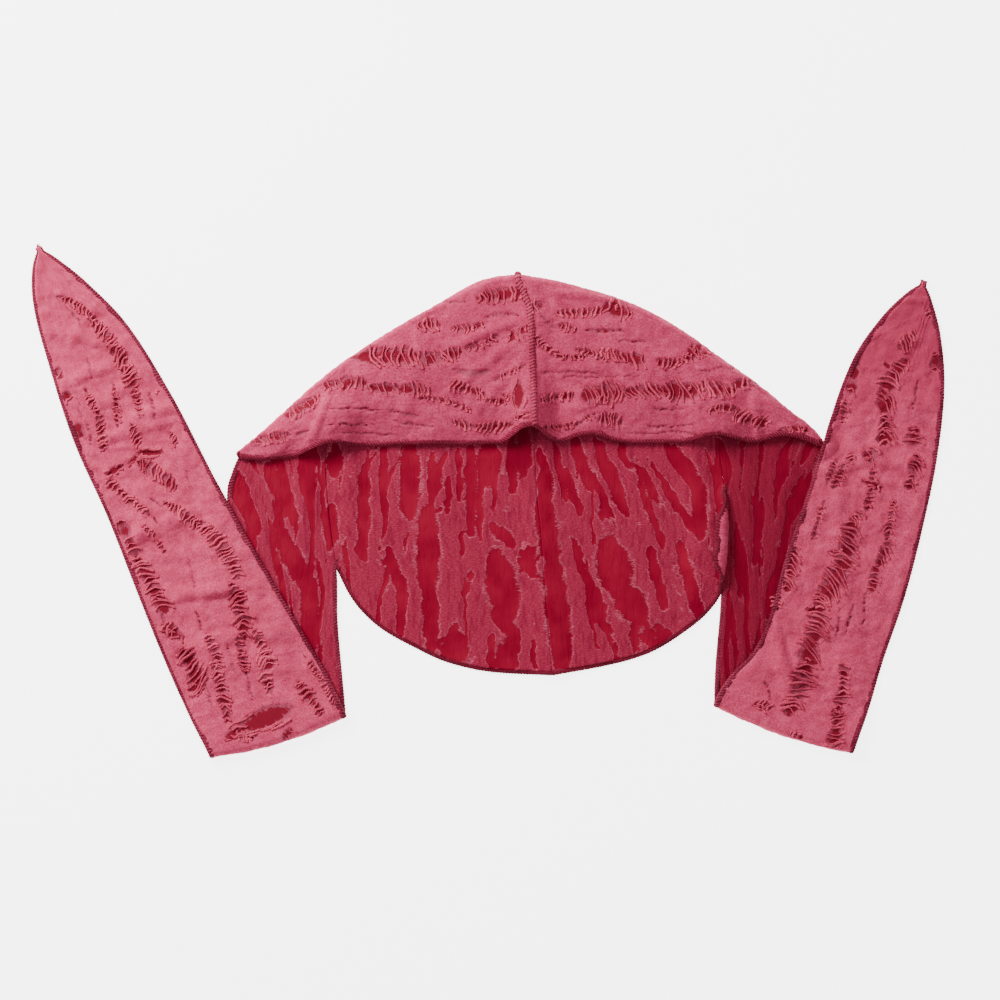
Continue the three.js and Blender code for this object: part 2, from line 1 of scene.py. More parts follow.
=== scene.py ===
# %% [markdown]
# # A distressed knit durag, laid flat
# A durag is a close headwrap: two crown panels joined by a seam over the head, a tail behind the neck and
# two long straps that tie it on. This one is a rose knit bonded to crimson satin. The knit is torn on
# purpose, so that its threads cross the gaps like the rungs of a ladder. It lies on a table with its
# forehead layer folded over the nape layer and each strap folded back up over itself, seen from above.
# Lengths are in millimetres until a mesh is made, because that is how a maker measures cloth.

# %% Load the imported model
import math

import bpy
import numpy as np
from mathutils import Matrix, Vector
from mathutils.bvhtree import BVHTree


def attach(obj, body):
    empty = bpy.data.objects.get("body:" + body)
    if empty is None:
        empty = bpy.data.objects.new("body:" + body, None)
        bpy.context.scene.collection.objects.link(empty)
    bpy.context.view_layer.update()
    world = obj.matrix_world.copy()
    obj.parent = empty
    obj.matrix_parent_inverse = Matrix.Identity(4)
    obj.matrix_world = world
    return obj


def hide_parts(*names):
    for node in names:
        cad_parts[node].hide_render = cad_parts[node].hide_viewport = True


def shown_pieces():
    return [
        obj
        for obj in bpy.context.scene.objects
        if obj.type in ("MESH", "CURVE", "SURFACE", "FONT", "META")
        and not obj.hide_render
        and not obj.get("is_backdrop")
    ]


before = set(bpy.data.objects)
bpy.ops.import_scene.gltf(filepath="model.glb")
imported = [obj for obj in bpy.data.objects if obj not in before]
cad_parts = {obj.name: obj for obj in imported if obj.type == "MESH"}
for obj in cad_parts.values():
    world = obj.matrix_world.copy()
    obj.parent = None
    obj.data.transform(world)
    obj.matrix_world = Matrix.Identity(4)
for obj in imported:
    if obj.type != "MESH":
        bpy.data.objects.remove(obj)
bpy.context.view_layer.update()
millimetre = 0.001

# %% [markdown]
# ## The cut and the lie of the cloth
# A durag is cut flat and then laid down, so its shape is a set of lines: the hem over the forehead, the
# fold over the crown, the round tail, the slits and the edges of the straps. It could be draped by a cloth
# simulation, but the photograph fixes every line and fold. So each line is a short table of shares of a
# size, the same as in the part's source, and a smooth curve is read through its rows.

# %% Sizes in millimetres
cloth_thickness = 1.4
clearance = 0.3
crown_half_width = 184
crown_height = 110
side_half_width = 124
tail_depth = 148
joint_rise = 22
corner_rise = {"left": -6.5, "right": 1.5}
fold_gap = 7.5
hem_gap = 4.4
billow = 4.5
fold_lift = 9
slit_drop = {"left": 78, "right": 29}
strap_width = 93.5
strap_drop = {"left": 187, "right": 182}
strap_slant = {"left": 25, "right": 29}
strap_fold_gap = 5
strap_reach = {"left": 352, "right": 303}
strap_lean = {"left": -26.1, "right": 17.5}
bottom_bow = 4
shoulder_round = {"left": 5, "right": -6}
corner_reach = {"left": 0, "right": 6}
seam_width = 4.6
seam_height = 1.8
edging_width = 2
edging_thickness = 1.8
edge_lift = 0.4
laid_at = np.array([23.59, 35.2345, 0.0])
sign = {"left": -1, "right": 1}
print("front hem about", 2 * crown_half_width, "mm, fold to tail", crown_height + tail_depth, "mm")

# %% Tables of the laid lines, as in the part's source
# Across is a share of the half width and drop a share of the way down to the strap's fold. At is a place
# across the head, spread the half width of a fold there, and left and right are shares of a size. Back is
# how far a fold draws the hem back, lift and height how high it stands, lean its slant, reach how far up it
# fades out, from and to where it starts and ends, and side its place across a strap.
dome = {
    "across": [0, 0.086, 0.172, 0.344, 0.516, 0.688, 0.86, 0.946, 1],
    "left": [0.99, 0.975, 0.936, 0.788, 0.616, 0.41, 0.157, 0.03, -0.027],
    "right": [0.99, 0.965, 0.928, 0.834, 0.69, 0.494, 0.285, 0.145, 0.05],
}
hem_level = {
    "across": [0, 0.5, 0.64, 0.76, 0.88, 1],
    "left": [0.006, -0.003, -0.02, -0.055, -0.086, -0.086],
    "right": [0.006, 0.012, 0.012, 0.012, 0.012, -0.03],
}
front_folds = {
    "at": [-0.92, -0.69, -0.36, -0.016, 0.198, 0.66, 0.915],
    "spread": [0.09, 0.12, 0.12, 0.108, 0.129, 0.13, 0.118],
    "back": [0, 0.04, 0.004, 0.1, 0.052, 0.045, 0.045],
    "lift": [0.25, 0.95, 0.15, 1.3, 0.4, 0.95, 0.7],
    "reach": [0.6, 0.9, 0.5, 0.5, 0.4, 0.8, 0.6],
    "lean": [0.4, 0.15, 0, 0, 0, -0.1, -0.3],
}
tail = {
    "across": [0, 0.3, 0.5, 0.65, 0.8, 0.9, 0.96, 1],
    "left": [0.996, 0.981, 0.94, 0.876, 0.796, 0.71, 0.631, 0.55],
    "right": [0.996, 0.96, 0.926, 0.884, 0.814, 0.753, 0.7, 0.65],
}
side_line = {
    "drop": [-0.3, -0.12, 0, 0.16, 0.33, 0.44, 0.6, 0.8, 1],
    "left": [1, 1, 1.028, 1.022, 0.995, 0.97, 0.966, 0.94, 0.905],
    "right": [1, 1, 1, 1.03, 1.03, 1.018, 1.004, 0.978, 0.962],
}
outer_line = {
    "drop": [0, 0.12, 0.2, 1.1],
    "left": [0.99, 1.032, 1.038, 1.098],
    "right": [1, 1.02, 1.035, 1.143],
}
strap_half = {
    "along": [0.08, 0.2, 0.35, 0.5, 0.65, 0.8, 0.9, 0.96, 1],
    "leftInner": [0.98, 0.91, 0.83, 0.78, 0.75, 0.63, 0.39, 0.18, 0],
    "leftOuter": [0.98, 0.95, 0.87, 0.78, 0.74, 0.58, 0.43, 0.24, 0],
    "rightInner": [0.8, 0.65, 0.68, 0.66, 0.67, 0.61, 0.41, 0.2, 0],
    "rightOuter": [1.05, 1.03, 1.05, 1, 0.9, 0.7, 0.44, 0.2, 0],
}
seam_line = {
    "at": [-1.35, -0.7, -0.5, -0.27, 0, 0.48, 0.76, 0.86, 0.98],
    "aside": [0.096, 0.063, 0.055, 0.041, 0.034, 0.026, 0.018, 0, -0.034],
}
floor_ridges = {
    "at": [-1.13, -0.93, -0.45, 0.34, 0.86, 1.13, 1.32],
    "spread": [0.11, 0.1, 0.16, 0.14, 0.1, 0.12, 0.12],
    "height": [1.5, 1.3, 0.6, 0.6, 1.3, 1.5, 1],
    "from": [-0.16, -0.16, -0.3, -0.3, -0.16, -0.16, -0.02],
    "to": [0.62, 0.52, 0.5, 0.6, 0.55, 0.7, 0.7],
    "lean": [-0.05, 0.06, 0.05, 0.15, 0.05, 0, -0.1],
}
strap_waves = {
    "along": [0.3, 0.52, 0.74, 0.9],
    "spread": [0.1, 0.12, 0.1, 0.08],
    "height": [0.8, 0.9, 0.8, 0.9],
    "side": [0.75, 0.2, 0.7, 0.3],
}
print("folds of the front hem:", len(front_folds["at"]), "ridges on the table:", len(floor_ridges["at"]))


# %% Smooth functions and the reader of a table
def clamp(value):
    return np.clip(value, 0, 1)


def mix(a, b, share):
    return a + (b - a) * share


def ease(value):
    """A soft step from 0 to 1."""
    return clamp(value) ** 2 * (3 - 2 * clamp(value))


def bump(offset):
    """A soft hill, 1 in the middle and 0 from an offset of 1 on."""
    return np.where(np.abs(offset) < 1, (1 - offset * offset) ** 2, 0)


def read_table(table, key, column, where):
    """A smooth curve through the rows of a table, level beyond its first and last row."""
    at = np.array(table[key], float)
    value = np.array(table[column], float)
    index = np.arange(len(at))
    before = np.maximum(index - 1, 0)
    after = np.minimum(index + 1, len(at) - 1)
    tangent = (value[after] - value[before]) / (at[after] - at[before])
    where = np.clip(where, at[0], at[-1])
    row = np.clip(np.searchsorted(at, where, side="left") - 1, 0, len(at) - 2)
    span = at[row + 1] - at[row]
    t = (where - at[row]) / span
    start = value[row] * (1 + 2 * t) * (1 - t) ** 2 + tangent[row] * span * t * (1 - t) ** 2
    end = value[row + 1] * t * t * (3 - 2 * t) - tangent[row + 1] * span * t * t * (1 - t)
    return start + end


def rows_of(table):
    names = list(table)
    return [dict(zip(names, values)) for values in zip(*table.values())]


print("the dome halfway to the left corner:", round(float(read_table(dome, "across", "left", 0.5)), 3))

# %% [markdown]
# ## The laid crown
# A crown panel is one sheet: up from the forehead hem, round the fold, down under itself and on into the
# tail. It could be three meshes sewn together, but the real cloth has no seam at the fold. So one function
# gives the whole panel: a share across it and a place along it come in, and a point on its middle comes out.

# %% Lines of the laid crown
edging_reach = clearance + edging_width
side_share = side_half_width / crown_half_width
nose_start = 0.955
slit_lead = 4
slit_run = 6


def seam_x(y):
    return crown_half_width * read_table(seam_line, "at", "aside", y / crown_height)


def dome_line(side, share):
    return crown_height * read_table(dome, "across", side, share)


def hem_line(side, share):
    level = read_table(hem_level, "across", side, share)
    for fold in rows_of(front_folds):
        level = level + fold["back"] * bump((sign[side] * share - fold["at"]) / fold["spread"])
    return crown_height * level + edging_reach


def rounded(side, share, y):
    """Bring a line of the crown to the middle of the corner, so that the corner is a round nose."""
    middle = (dome_line(side, 1.0) + hem_line(side, 1.0)) / 2
    inside = clamp((share - nose_start) / (1 - nose_start))
    return mix(y, middle, 1 - np.sqrt(1 - inside * inside))


def dome_y(side, share):
    return rounded(side, share, dome_line(side, share))


def hem_y(side, share):
    return rounded(side, share, hem_line(side, share))


print("corners of the crown at", {side: round(float(hem_y(side, 1.0)), 1) for side in sign}, "mm up")


# %% Lines of the tail, of the slits and of the straps' edges
def side_x(side, y):
    return sign[side] * side_half_width * read_table(side_line, "drop", side, -y / strap_drop[side])


def outer_x(side, y):
    return sign[side] * crown_half_width * read_table(outer_line, "drop", side, -y / strap_drop[side])


def joint_y(side, share):
    return mix(joint_rise, corner_rise[side], clamp((share - side_share) / (1 - side_share)))


def tail_y(side, share):
    return -tail_depth * read_table(tail, "across", side, share) + edging_reach


def slit_opening(side, y):
    """0 above the slit between tail and strap, 1 below its start."""
    return ease((slit_lead - slit_drop[side] - y) / slit_run)


print("lowest place of the tail at", round(float(tail_y("left", 0.0)), 1), "mm")

# %% Height of the layer on the table, and the gap between the two crown layers
corner_start = 0.7
corner_hem_gap = 0.65
corner_fold_gap = 0.4


def floor_height(x, y):
    height = 0
    down = -y / tail_depth
    for ridge in rows_of(floor_ridges):
        middle = (ridge["from"] + ridge["to"]) / 2
        crest = ridge["at"] * side_half_width - ridge["lean"] * y
        across = bump((x - crest) / (ridge["spread"] * side_half_width))
        lengthwise = bump((down - middle) / (ridge["to"] - middle))
        height = height + ridge["height"] * cloth_thickness * across * lengthwise
    from_seam = np.abs(x - seam_x(y)) - seam_width / 2
    over_seam = (seam_height + 2.5 * clearance) * (1 - ease(from_seam / (3 * seam_width)))
    return cloth_thickness / 2 + height + over_seam


def layer_gap(side, share, rise):
    narrowing = ease((share - corner_start) / (1 - corner_start))
    at_hem = hem_gap * mix(1, corner_hem_gap, narrowing)
    at_fold = fold_gap * mix(1, corner_fold_gap, narrowing)
    even = mix(at_hem, at_fold, rise) + billow * (1 - narrowing) * 4 * rise * (1 - rise)
    depth = dome_y(side, share) - hem_y(side, share)
    raised = 0
    for fold in rows_of(front_folds):
        crest = fold["at"] + fold["lean"] * depth * rise / crown_half_width
        fade = 1 - ease(rise / fold["reach"])
        across = bump((sign[side] * share - crest) / fold["spread"])
        raised = raised + fold_lift * fold["lift"] * fade * across
    return even + raised * mix(1, 0.5, narrowing)


print("gap between the crown's layers at the seam:", round(float(layer_gap("right", 0.0, 0.5)), 1), "mm")

# %% The free side of the tail rolls up and shows its rose face
roll_width = 6.5
roll_turn = 172
roll_overlap = 3.5
roll_lift = 2.8
roll_fullness = 1.35
roll_flatness = 0.42
edge_band = 8


def rolled_hem(x, y, z, side_edge, low_end, along):
    top = -slit_drop["right"]
    middle = mix(top, low_end, 0.5)
    from_middle = np.abs((y - middle) / (top - middle + edge_band))
    strength = ease(roll_fullness * (1 - from_middle)) * (along > 3)
    from_line = np.abs(side_edge - x)
    z = z + roll_lift * strength * (1 - ease((from_line - 2 * roll_width) / (2 * roll_width)))
    x = x + roll_overlap * strength * (1 - ease((from_line - roll_width) / (2 * roll_width)))
    inside = clamp(1 - from_line / roll_width)
    turn = np.maximum(math.radians(roll_turn) * strength, 0.01)
    radius = roll_width / np.where(turn < math.pi / 2, np.sin(turn), 1)
    x = x + radius * np.sin(turn * inside) - roll_width * inside
    z = z + roll_flatness * radius * (1 - np.cos(turn * inside))
    return x, z


# %% The middle surface of a crown panel
# Share runs from the centre seam to the corner. Along runs 0 to 1 up the forehead layer, 1 to 2 round the
# fold, 2 to 3 down to the line where the strap begins and 3 to 4 down the tail.
reach_start = 0.88


def by_stretch(along, front, turn, nape, low):
    """Pick the value of the stretch of the panel that each place lies on."""
    return np.where(along <= 1, front, np.where(along < 2, turn, np.where(along <= 3, nape, low)))


def crown_point(side, share, along):
    facing = sign[side]
    turn_radius = layer_gap(side, share, 1.0) / 2
    turn_y = dome_y(side, share) - turn_radius - cloth_thickness / 2
    inward = clamp(share / side_share)
    low_end = tail_y(side, inward)
    joint = joint_y(side, share)
    y = by_stretch(along, mix(hem_y(side, share), turn_y, along), turn_y,
                   mix(turn_y, joint, along - 2), mix(joint, low_end, along - 3))
    slit = slit_opening(side, y)
    side_edge = side_x(side, y) - facing * edging_reach * slit * (along > 3)
    side_edge = np.where(along <= 2, facing * side_half_width, side_edge)
    corner = crown_half_width * share + corner_reach[side] * ease((share - reach_start) / (1 - reach_start))
    x = np.where(share <= side_share, mix(seam_x(y), side_edge, inward), facing * corner)
    turn = (np.clip(along, 1, 2) - 1) * np.pi
    z_turn = floor_height(x, turn_y) + turn_radius * (1 + np.cos(turn))
    z_low = floor_height(x, y)
    near_hem = 1 - (y - low_end) / edge_band
    near_side = slit * (1 - np.abs(side_edge - x) / edge_band)
    z_tail = z_low + edge_lift * ease(np.maximum(near_hem, near_side))
    z = by_stretch(along, z_low + layer_gap(side, share, clamp(along)), z_turn, z_low, z_tail)
    y = np.where((along > 1) & (along < 2), turn_y + turn_radius * np.sin(turn), y)
    if side == "right":
        x, z = rolled_hem(x, y, z, side_edge, low_end, along)
    return np.stack([x, y, z], axis=-1)


print("middle of the front hem at", np.round(crown_point("right", np.array(0.0), np.array(0.0)), 1), "mm")

# %% [markdown]
# ## The laid straps
# A strap is a long band that tapers to a point. It goes down from the crown, folds over itself and comes up
# again, leaning outwards over whatever lies there. It could be a ribbon swept along a curve, but its two
# edges run differently and it widens at the fold. So a strap too is one function, built from three
# stretches: the way down, the turn and the way up.

# %% Where a strap folds over
# Along runs 0 to 1 down from the crown, 1 to 2 round the fold at the bottom and 2 to 3 up to the tip.
# Across runs from the inner edge to the outer one.
strap_inset = clearance / 2 + edging_reach


def fold_end(side, across):
    """The inner end of the fold for 0 and its outer end for 1, inside the edging."""
    drop = strap_drop[side] + strap_slant[side] * (across - 0.5)
    edge = side_x(side, -drop) if across == 0 else outer_x(side, -drop)
    inset = sign[side] * strap_inset
    return np.array([edge + (inset if across == 0 else -inset), -drop])


def fold_line(side, across):
    """Where the cloth starts to turn over, and the way out past the fold."""
    inner_end = fold_end(side, 0)
    outer_end = fold_end(side, 1)
    away = sign[side] * np.array([outer_end[1] - inner_end[1], inner_end[0] - outer_end[0]])
    away = away / np.linalg.norm(away)
    line = mix(inner_end, outer_end, across[..., None])
    line = line - np.array([0, bottom_bow * 4]) * (across * (1 - across))[..., None]
    return line - away * (strap_fold_gap / 2 + cloth_thickness / 2), away


def rim_lift(from_edge):
    """The overlocked edge lifts a narrow strip of the cloth beside it."""
    return edge_lift * ease(1 - from_edge / edge_band)


print("ends of the left fold at", np.round(fold_end("left", 0)), np.round(fold_end("left", 1)), "mm")

# %% The way down from the crown
shoulder_run = 0.13
inset_run = 0.08
fold_lead = 0.25


def down_going_point(side, down, across, end):
    facing = sign[side]
    inner_y = mix(joint_y(side, side_share), fold_end(side, 0)[1], down)
    outer_y = mix(joint_y(side, 1), fold_end(side, 1)[1], down)
    inner_x = side_x(side, inner_y) + facing * edging_reach * slit_opening(side, inner_y)
    shoulder = shoulder_round[side] * clamp(1 - down / shoulder_run) ** 2
    outer_edge = outer_x(side, outer_y) - facing * (strap_inset * ease(down / inset_run) + shoulder)
    flat = np.stack([mix(inner_x, outer_edge, across), mix(inner_y, outer_y, across)], axis=-1)
    flat = mix(flat, end, (ease((down - 1 + fold_lead) / fold_lead) ** 2)[..., None])
    rim = np.where(across > 0.5, 1, ease(down / 0.1 - 1))
    lift = rim_lift(np.minimum(across, 1 - across) * strap_width) * rim
    return np.concatenate([flat, (floor_height(flat[..., 0], flat[..., 1]) + lift)[..., None]], -1)


# %% What the strap lies on when it comes up again
# It crosses its own lower run and the corner of the crown, and steps down from both in a soft slope.
step_start = 6
step_run = 14
leaning_share = 0.8


def support_height(side, flat, near_fold):
    x, y = flat[..., 0], flat[..., 1]
    past_edge = sign[side] * (x - outer_x(side, y)) - clearance
    on_strap = 1 - ease((past_edge - step_start) / step_run)
    low_layer = edging_thickness + 2 * clearance + edge_lift + floor_height(x, y) - cloth_thickness / 2
    corner_level = crown_height / 2 * (dome[side][-1] + hem_level[side][-1])
    corner = np.array([sign[side] * crown_half_width, corner_level])
    upper_x = sign[side] * crown_half_width * leaning_share
    upper = np.array([upper_x, float(dome_y(side, leaning_share))])
    slope = upper - corner
    share = clamp(((flat - corner) @ slope) / (slope @ slope))
    away = np.linalg.norm(flat - corner - slope * share[..., None], axis=-1)
    crown_top = 2 * cloth_thickness + hem_gap * corner_hem_gap
    on_crown = 1 - ease((away - step_start) / step_run)
    return np.maximum((low_layer + near_fold) * on_strap, crown_top * on_crown)


# %% The way up to the tip
settling = 0.14
fold_fade = 32
least_half = 0.5


def up_going_point(side, along, across, start):
    lean = math.radians(strap_lean[side])
    up = np.array([math.sin(lean), math.cos(lean)])
    out = sign[side] * np.array([up[1], -up[0]])
    center = (fold_end(side, 0) + fold_end(side, 1)) / 2
    half = strap_width / 2
    inner_half = half * read_table(strap_half, "along", side + "Inner", along)
    outer_half = half * read_table(strap_half, "along", side + "Outer", along)
    inner = -np.maximum(inner_half - strap_inset, least_half)
    outer = np.maximum(outer_half - strap_inset, least_half)
    settled = ease(along / settling)
    offset = start - center
    sideways = mix(offset @ out, mix(inner, outer, across), settled)
    reach = strap_reach[side] * along
    forward = reach * (1 - strap_inset / strap_reach[side]) + (offset @ up) * (1 - settled)
    flat = center + up * forward[..., None] + out * sideways[..., None]
    waves = 0
    for wave in rows_of(strap_waves):
        where = bump((along - wave["along"]) / wave["spread"]) * bump((across - wave["side"]) / 0.8)
        waves = waves + wave["height"] * cloth_thickness * where
    from_edge = np.minimum(across, 1 - across) * (outer - inner)
    rest = cloth_thickness / 2 + rim_lift(from_edge) + waves
    near_fold = (strap_fold_gap - cloth_thickness - 2 * clearance) * (1 - ease(reach / fold_fade))
    height = rest + support_height(side, flat, near_fold)
    return np.concatenate([flat, height[..., None]], -1)


# %% The middle surface of a strap
def strap_point(side, along, across):
    end, away = fold_line(side, across)
    down_point = down_going_point(side, clamp(along), across, end)
    up_point = up_going_point(side, clamp(along - 2), across, end)
    radius = strap_fold_gap / 2
    turn = (np.clip(along, 1, 2) - 1) * np.pi
    out = end + away * (radius * np.sin(turn))[..., None]
    lift = rim_lift(np.minimum(across, 1 - across) * strap_width)
    turned = floor_height(end[..., 0], end[..., 1]) + lift + radius * (1 - np.cos(turn))
    turn_point = np.concatenate([out, turned[..., None]], -1)
    picked = np.where((along <= 1)[..., None], down_point, turn_point)
    return np.where((along >= 2)[..., None], up_point, picked)


print("tip of the right strap at", np.round(strap_point("right", np.array(3.0), np.array(0.5)), 1), "mm")

# %% [markdown]
# ## What the eye sees on the cloth
# The knit is torn, creased and dyed unevenly, and no two places are alike. Such wear could be scattered at
# random, but the eye knows the real piece by where its tears lie. So each mark is listed at a place seen in
# the photograph and turned into millimetres on the cloth. Soft random noise then breaks up every outline,
# because torn knit has no straight edges.

# %% Places in the photograph, and soft noise
pixel_size = 0.64
photo_middle = (525, 445)
noise_cells = 256


def seen(px, py):
    return np.array([(px - photo_middle[0]) * pixel_size, (photo_middle[1] - py) * pixel_size])


def noise(x, y, seed):
    """Soft noise about 0 that changes from cell to cell of a grid of unit squares."""
    turns = np.random.default_rng(seed).uniform(0, 2 * np.pi, (noise_cells, noise_cells))
    column = np.floor(x).astype(int)
    line = np.floor(y).astype(int)
    fx = x - column
    fy = y - line
    sx = fx ** 3 * (fx * (fx * 6 - 15) + 10)
    sy = fy ** 3 * (fy * (fy * 6 - 15) + 10)

    def corner(dx, dy):
        turn = turns[(column + dx) % noise_cells, (line + dy) % noise_cells]
        return np.cos(turn) * (fx - dx) + np.sin(turn) * (fy - dy)

    return 1.5 * mix(mix(corner(0, 0), corner(1, 0), sx), mix(corner(0, 1), corner(1, 1), sx), sy)


print("tip of the left strap was seen at", seen(38, 243), "mm")

# %% [markdown]
# ## Ladders and holes in the knit
# When cross threads of a knit break, the ones that are left run across the gap like rungs. The gaps could be
# cut out of the mesh, but the real cloth isn't open there: the bonded ground still lies below. So a tear is
# a field over the sheet that sinks its face and darkens it. Each row below is one torn band in pixels of the
# photograph: where it starts and ends, how far its middle bows, how wide it is and how open.

# %% Torn bands of the forehead layer: start, end, bow of the middle, width, openness
front_bands = [
    (476, 300, 527, 293, 1, 15, 1.1), (417, 329, 441, 326, 2, 14, 1.0), (452, 329, 484, 325, -2, 9, 0.9),
    (484, 319, 520, 317, 3, 5, 0.6), (349, 357, 420, 357, 0, 19, 1.15), (414, 361, 462, 352, -2, 15, 1.05),
    (465, 350, 482, 346, 1, 11, 0.9), (485, 345, 498, 336, 0, 9, 0.8), (508, 342, 527, 327, -2, 8, 1.0),
    (454, 370, 492, 372, -3, 9, 0.6), (494, 382, 527, 366, 1, 5, 0.75), (286, 417, 320, 399, 0, 12, 0.95),
    (323, 388, 368, 384, 3, 14, 1.05), (368, 388, 400, 388, -1, 12, 1.0), (400, 390, 432, 393, 2, 14, 1.05),
    (449, 385, 487, 397, 1, 10, 0.9), (483, 399, 510, 401, -2, 7, 0.9), (418, 399, 474, 414, 5, 5, 0.7),
    (452, 422, 515, 424, -5, 10, 1.0), (251, 444, 292, 435, 1, 9, 0.8), (296, 436, 311, 431, 0, 5, 0.6),
    (391, 411, 421, 416, -1, 3, 0.5), (394, 421, 436, 427, -1, 3.5, 0.55), (331, 410, 382, 411, 1, 3, 0.5),
    (327, 425, 376, 425, 0, 3, 0.55), (386, 410, 420, 416, 0, 3, 0.5), (340, 433, 400, 436, 1, 3, 0.5),
    (420, 305, 470, 303, 1, 2.5, 0.45), (513, 421, 531, 412, 0, 5, 0.8), (500, 394, 512, 400, 0, 6, 0.7),
    (531, 309, 543, 306, 0, 12, 0.9), (556, 314, 606, 311, -1, 10, 0.95), (603, 307, 632, 316, 1, 15, 1.1),
    (558, 326, 578, 332, 0, 8, 0.8), (585, 331, 620, 331, -1, 5, 0.6), (533, 336, 562, 358, -2, 7, 0.8),
    (560, 357, 588, 357, -1, 6, 0.7), (575, 350, 606, 360, 1, 8, 0.8), (598, 352, 645, 363, 0, 15, 1.05),
    (655, 362, 683, 363, -2, 10, 0.95), (680, 363, 700, 346, -2, 12, 1.1), (698, 357, 710, 351, 0, 7, 0.9),
    (540, 401, 575, 396, 1, 11, 0.95), (581, 397, 625, 395, 3, 21, 1.2), (624, 394, 664, 391, 1, 15, 1.0),
    (662, 391, 700, 392, 0, 20, 1.15), (699, 387, 736, 390, -2, 15, 1.05), (732, 386, 757, 384, 1, 10, 0.95),
    (539, 428, 584, 422, -2, 7, 0.8), (583, 420, 596, 414, 0, 5, 0.7), (598, 419, 622, 424, 2, 13, 0.95),
    (706, 413, 740, 412, 4, 8, 0.95), (732, 413, 768, 424, -2, 13, 1.0), (777, 432, 808, 431, 2, 7, 0.85),
    (600, 330, 626, 333, 0, 3, 0.5), (617, 343, 648, 342, 0, 3, 0.55), (648, 426, 692, 424, -2, 3.5, 0.6),
    (650, 409, 684, 409, -1, 3, 0.5), (698, 371, 738, 369, 0, 3, 0.5), (539, 375, 600, 374, 2, 3, 0.5),
    (560, 377, 640, 376, -1, 2.5, 0.45), (628, 434, 700, 434, 1, 2.5, 0.45), (540, 318, 556, 330, 0, 4, 0.6),
]

# %% Torn bands of the straps' upper faces
left_strap_bands = [
    (56, 296, 99, 325, 4, 8, 0.85), (92, 322, 116, 348, 1, 13, 1.05), (112, 346, 129, 372, 1, 14, 1.0),
    (124, 366, 136, 392, 1, 15, 1.05), (114, 384, 118, 428, 1, 7, 0.95), (134, 388, 141, 420, 1, 7, 0.8),
    (132, 424, 140, 446, 0, 12, 1.05), (85, 388, 97, 412, 0, 7, 0.85), (97, 408, 104, 452, 1, 9, 0.9),
    (57, 368, 63, 380, 0, 9, 0.9), (65, 392, 71, 402, 0, 9, 0.95), (77, 424, 82, 438, 0, 11, 1.05),
    (155, 389, 160, 394, 0, 5, 0.7), (169, 432, 177, 446, 1, 7, 0.8), (138, 462, 178, 490, 2, 15, 1.1),
    (107, 480, 148, 513, -1, 9, 0.95), (164, 502, 202, 529, 1, 10, 1.0), (198, 521, 240, 580, 5, 15, 1.1),
    (120, 520, 137, 556, 0, 15, 1.05), (135, 556, 152, 582, 0, 14, 1.1), (149, 584, 168, 614, 1, 16, 1.1),
    (143, 525, 155, 537, 0, 6, 0.8), (158, 541, 166, 554, 0, 5, 0.7), (162, 624, 184, 640, 1, 12, 1.1),
    (231, 582, 246, 640, 3, 16, 1.05), (238, 634, 247, 675, 0, 9, 0.8), (256, 628, 268, 664, 0, 11, 0.95),
    (262, 652, 272, 668, 0, 16, 1.1), (264, 672, 272, 694, 0, 15, 1.0), (180, 648, 201, 694, 4, 20, 1.15),
    (207, 634, 222, 668, 1, 10, 0.8), (214, 660, 229, 722, 1, 13, 0.95), (298, 682, 323, 716, 1, 11, 1.0),
    (305, 655, 338, 712, 2, 6, 0.75), (226, 735, 256, 739, 2, 9, 1.0), (283, 738, 292, 728, 0, 7, 1.0),
    (196, 610, 204, 632, 0, 4, 0.6), (150, 498, 164, 508, 0, 3, 0.6), (186, 470, 192, 490, 0, 3, 0.55),
    (66, 306, 84, 330, 1, 3, 0.5), (88, 356, 92, 380, 0, 3, 0.5), (78, 398, 82, 420, 0, 3, 0.5),
    (226, 640, 236, 676, 0, 4, 0.6), (190, 560, 196, 590, 0, 3, 0.5), (150, 392, 156, 420, 0, 4, 0.6),
    (118, 352, 124, 380, 0, 4, 0.6), (88, 420, 92, 446, 0, 4, 0.6), (140, 506, 158, 524, 1, 4, 0.6),
    (204, 668, 212, 708, 0, 4, 0.6), (246, 660, 252, 700, 0, 4, 0.65), (160, 600, 168, 640, 0, 4, 0.6),
]
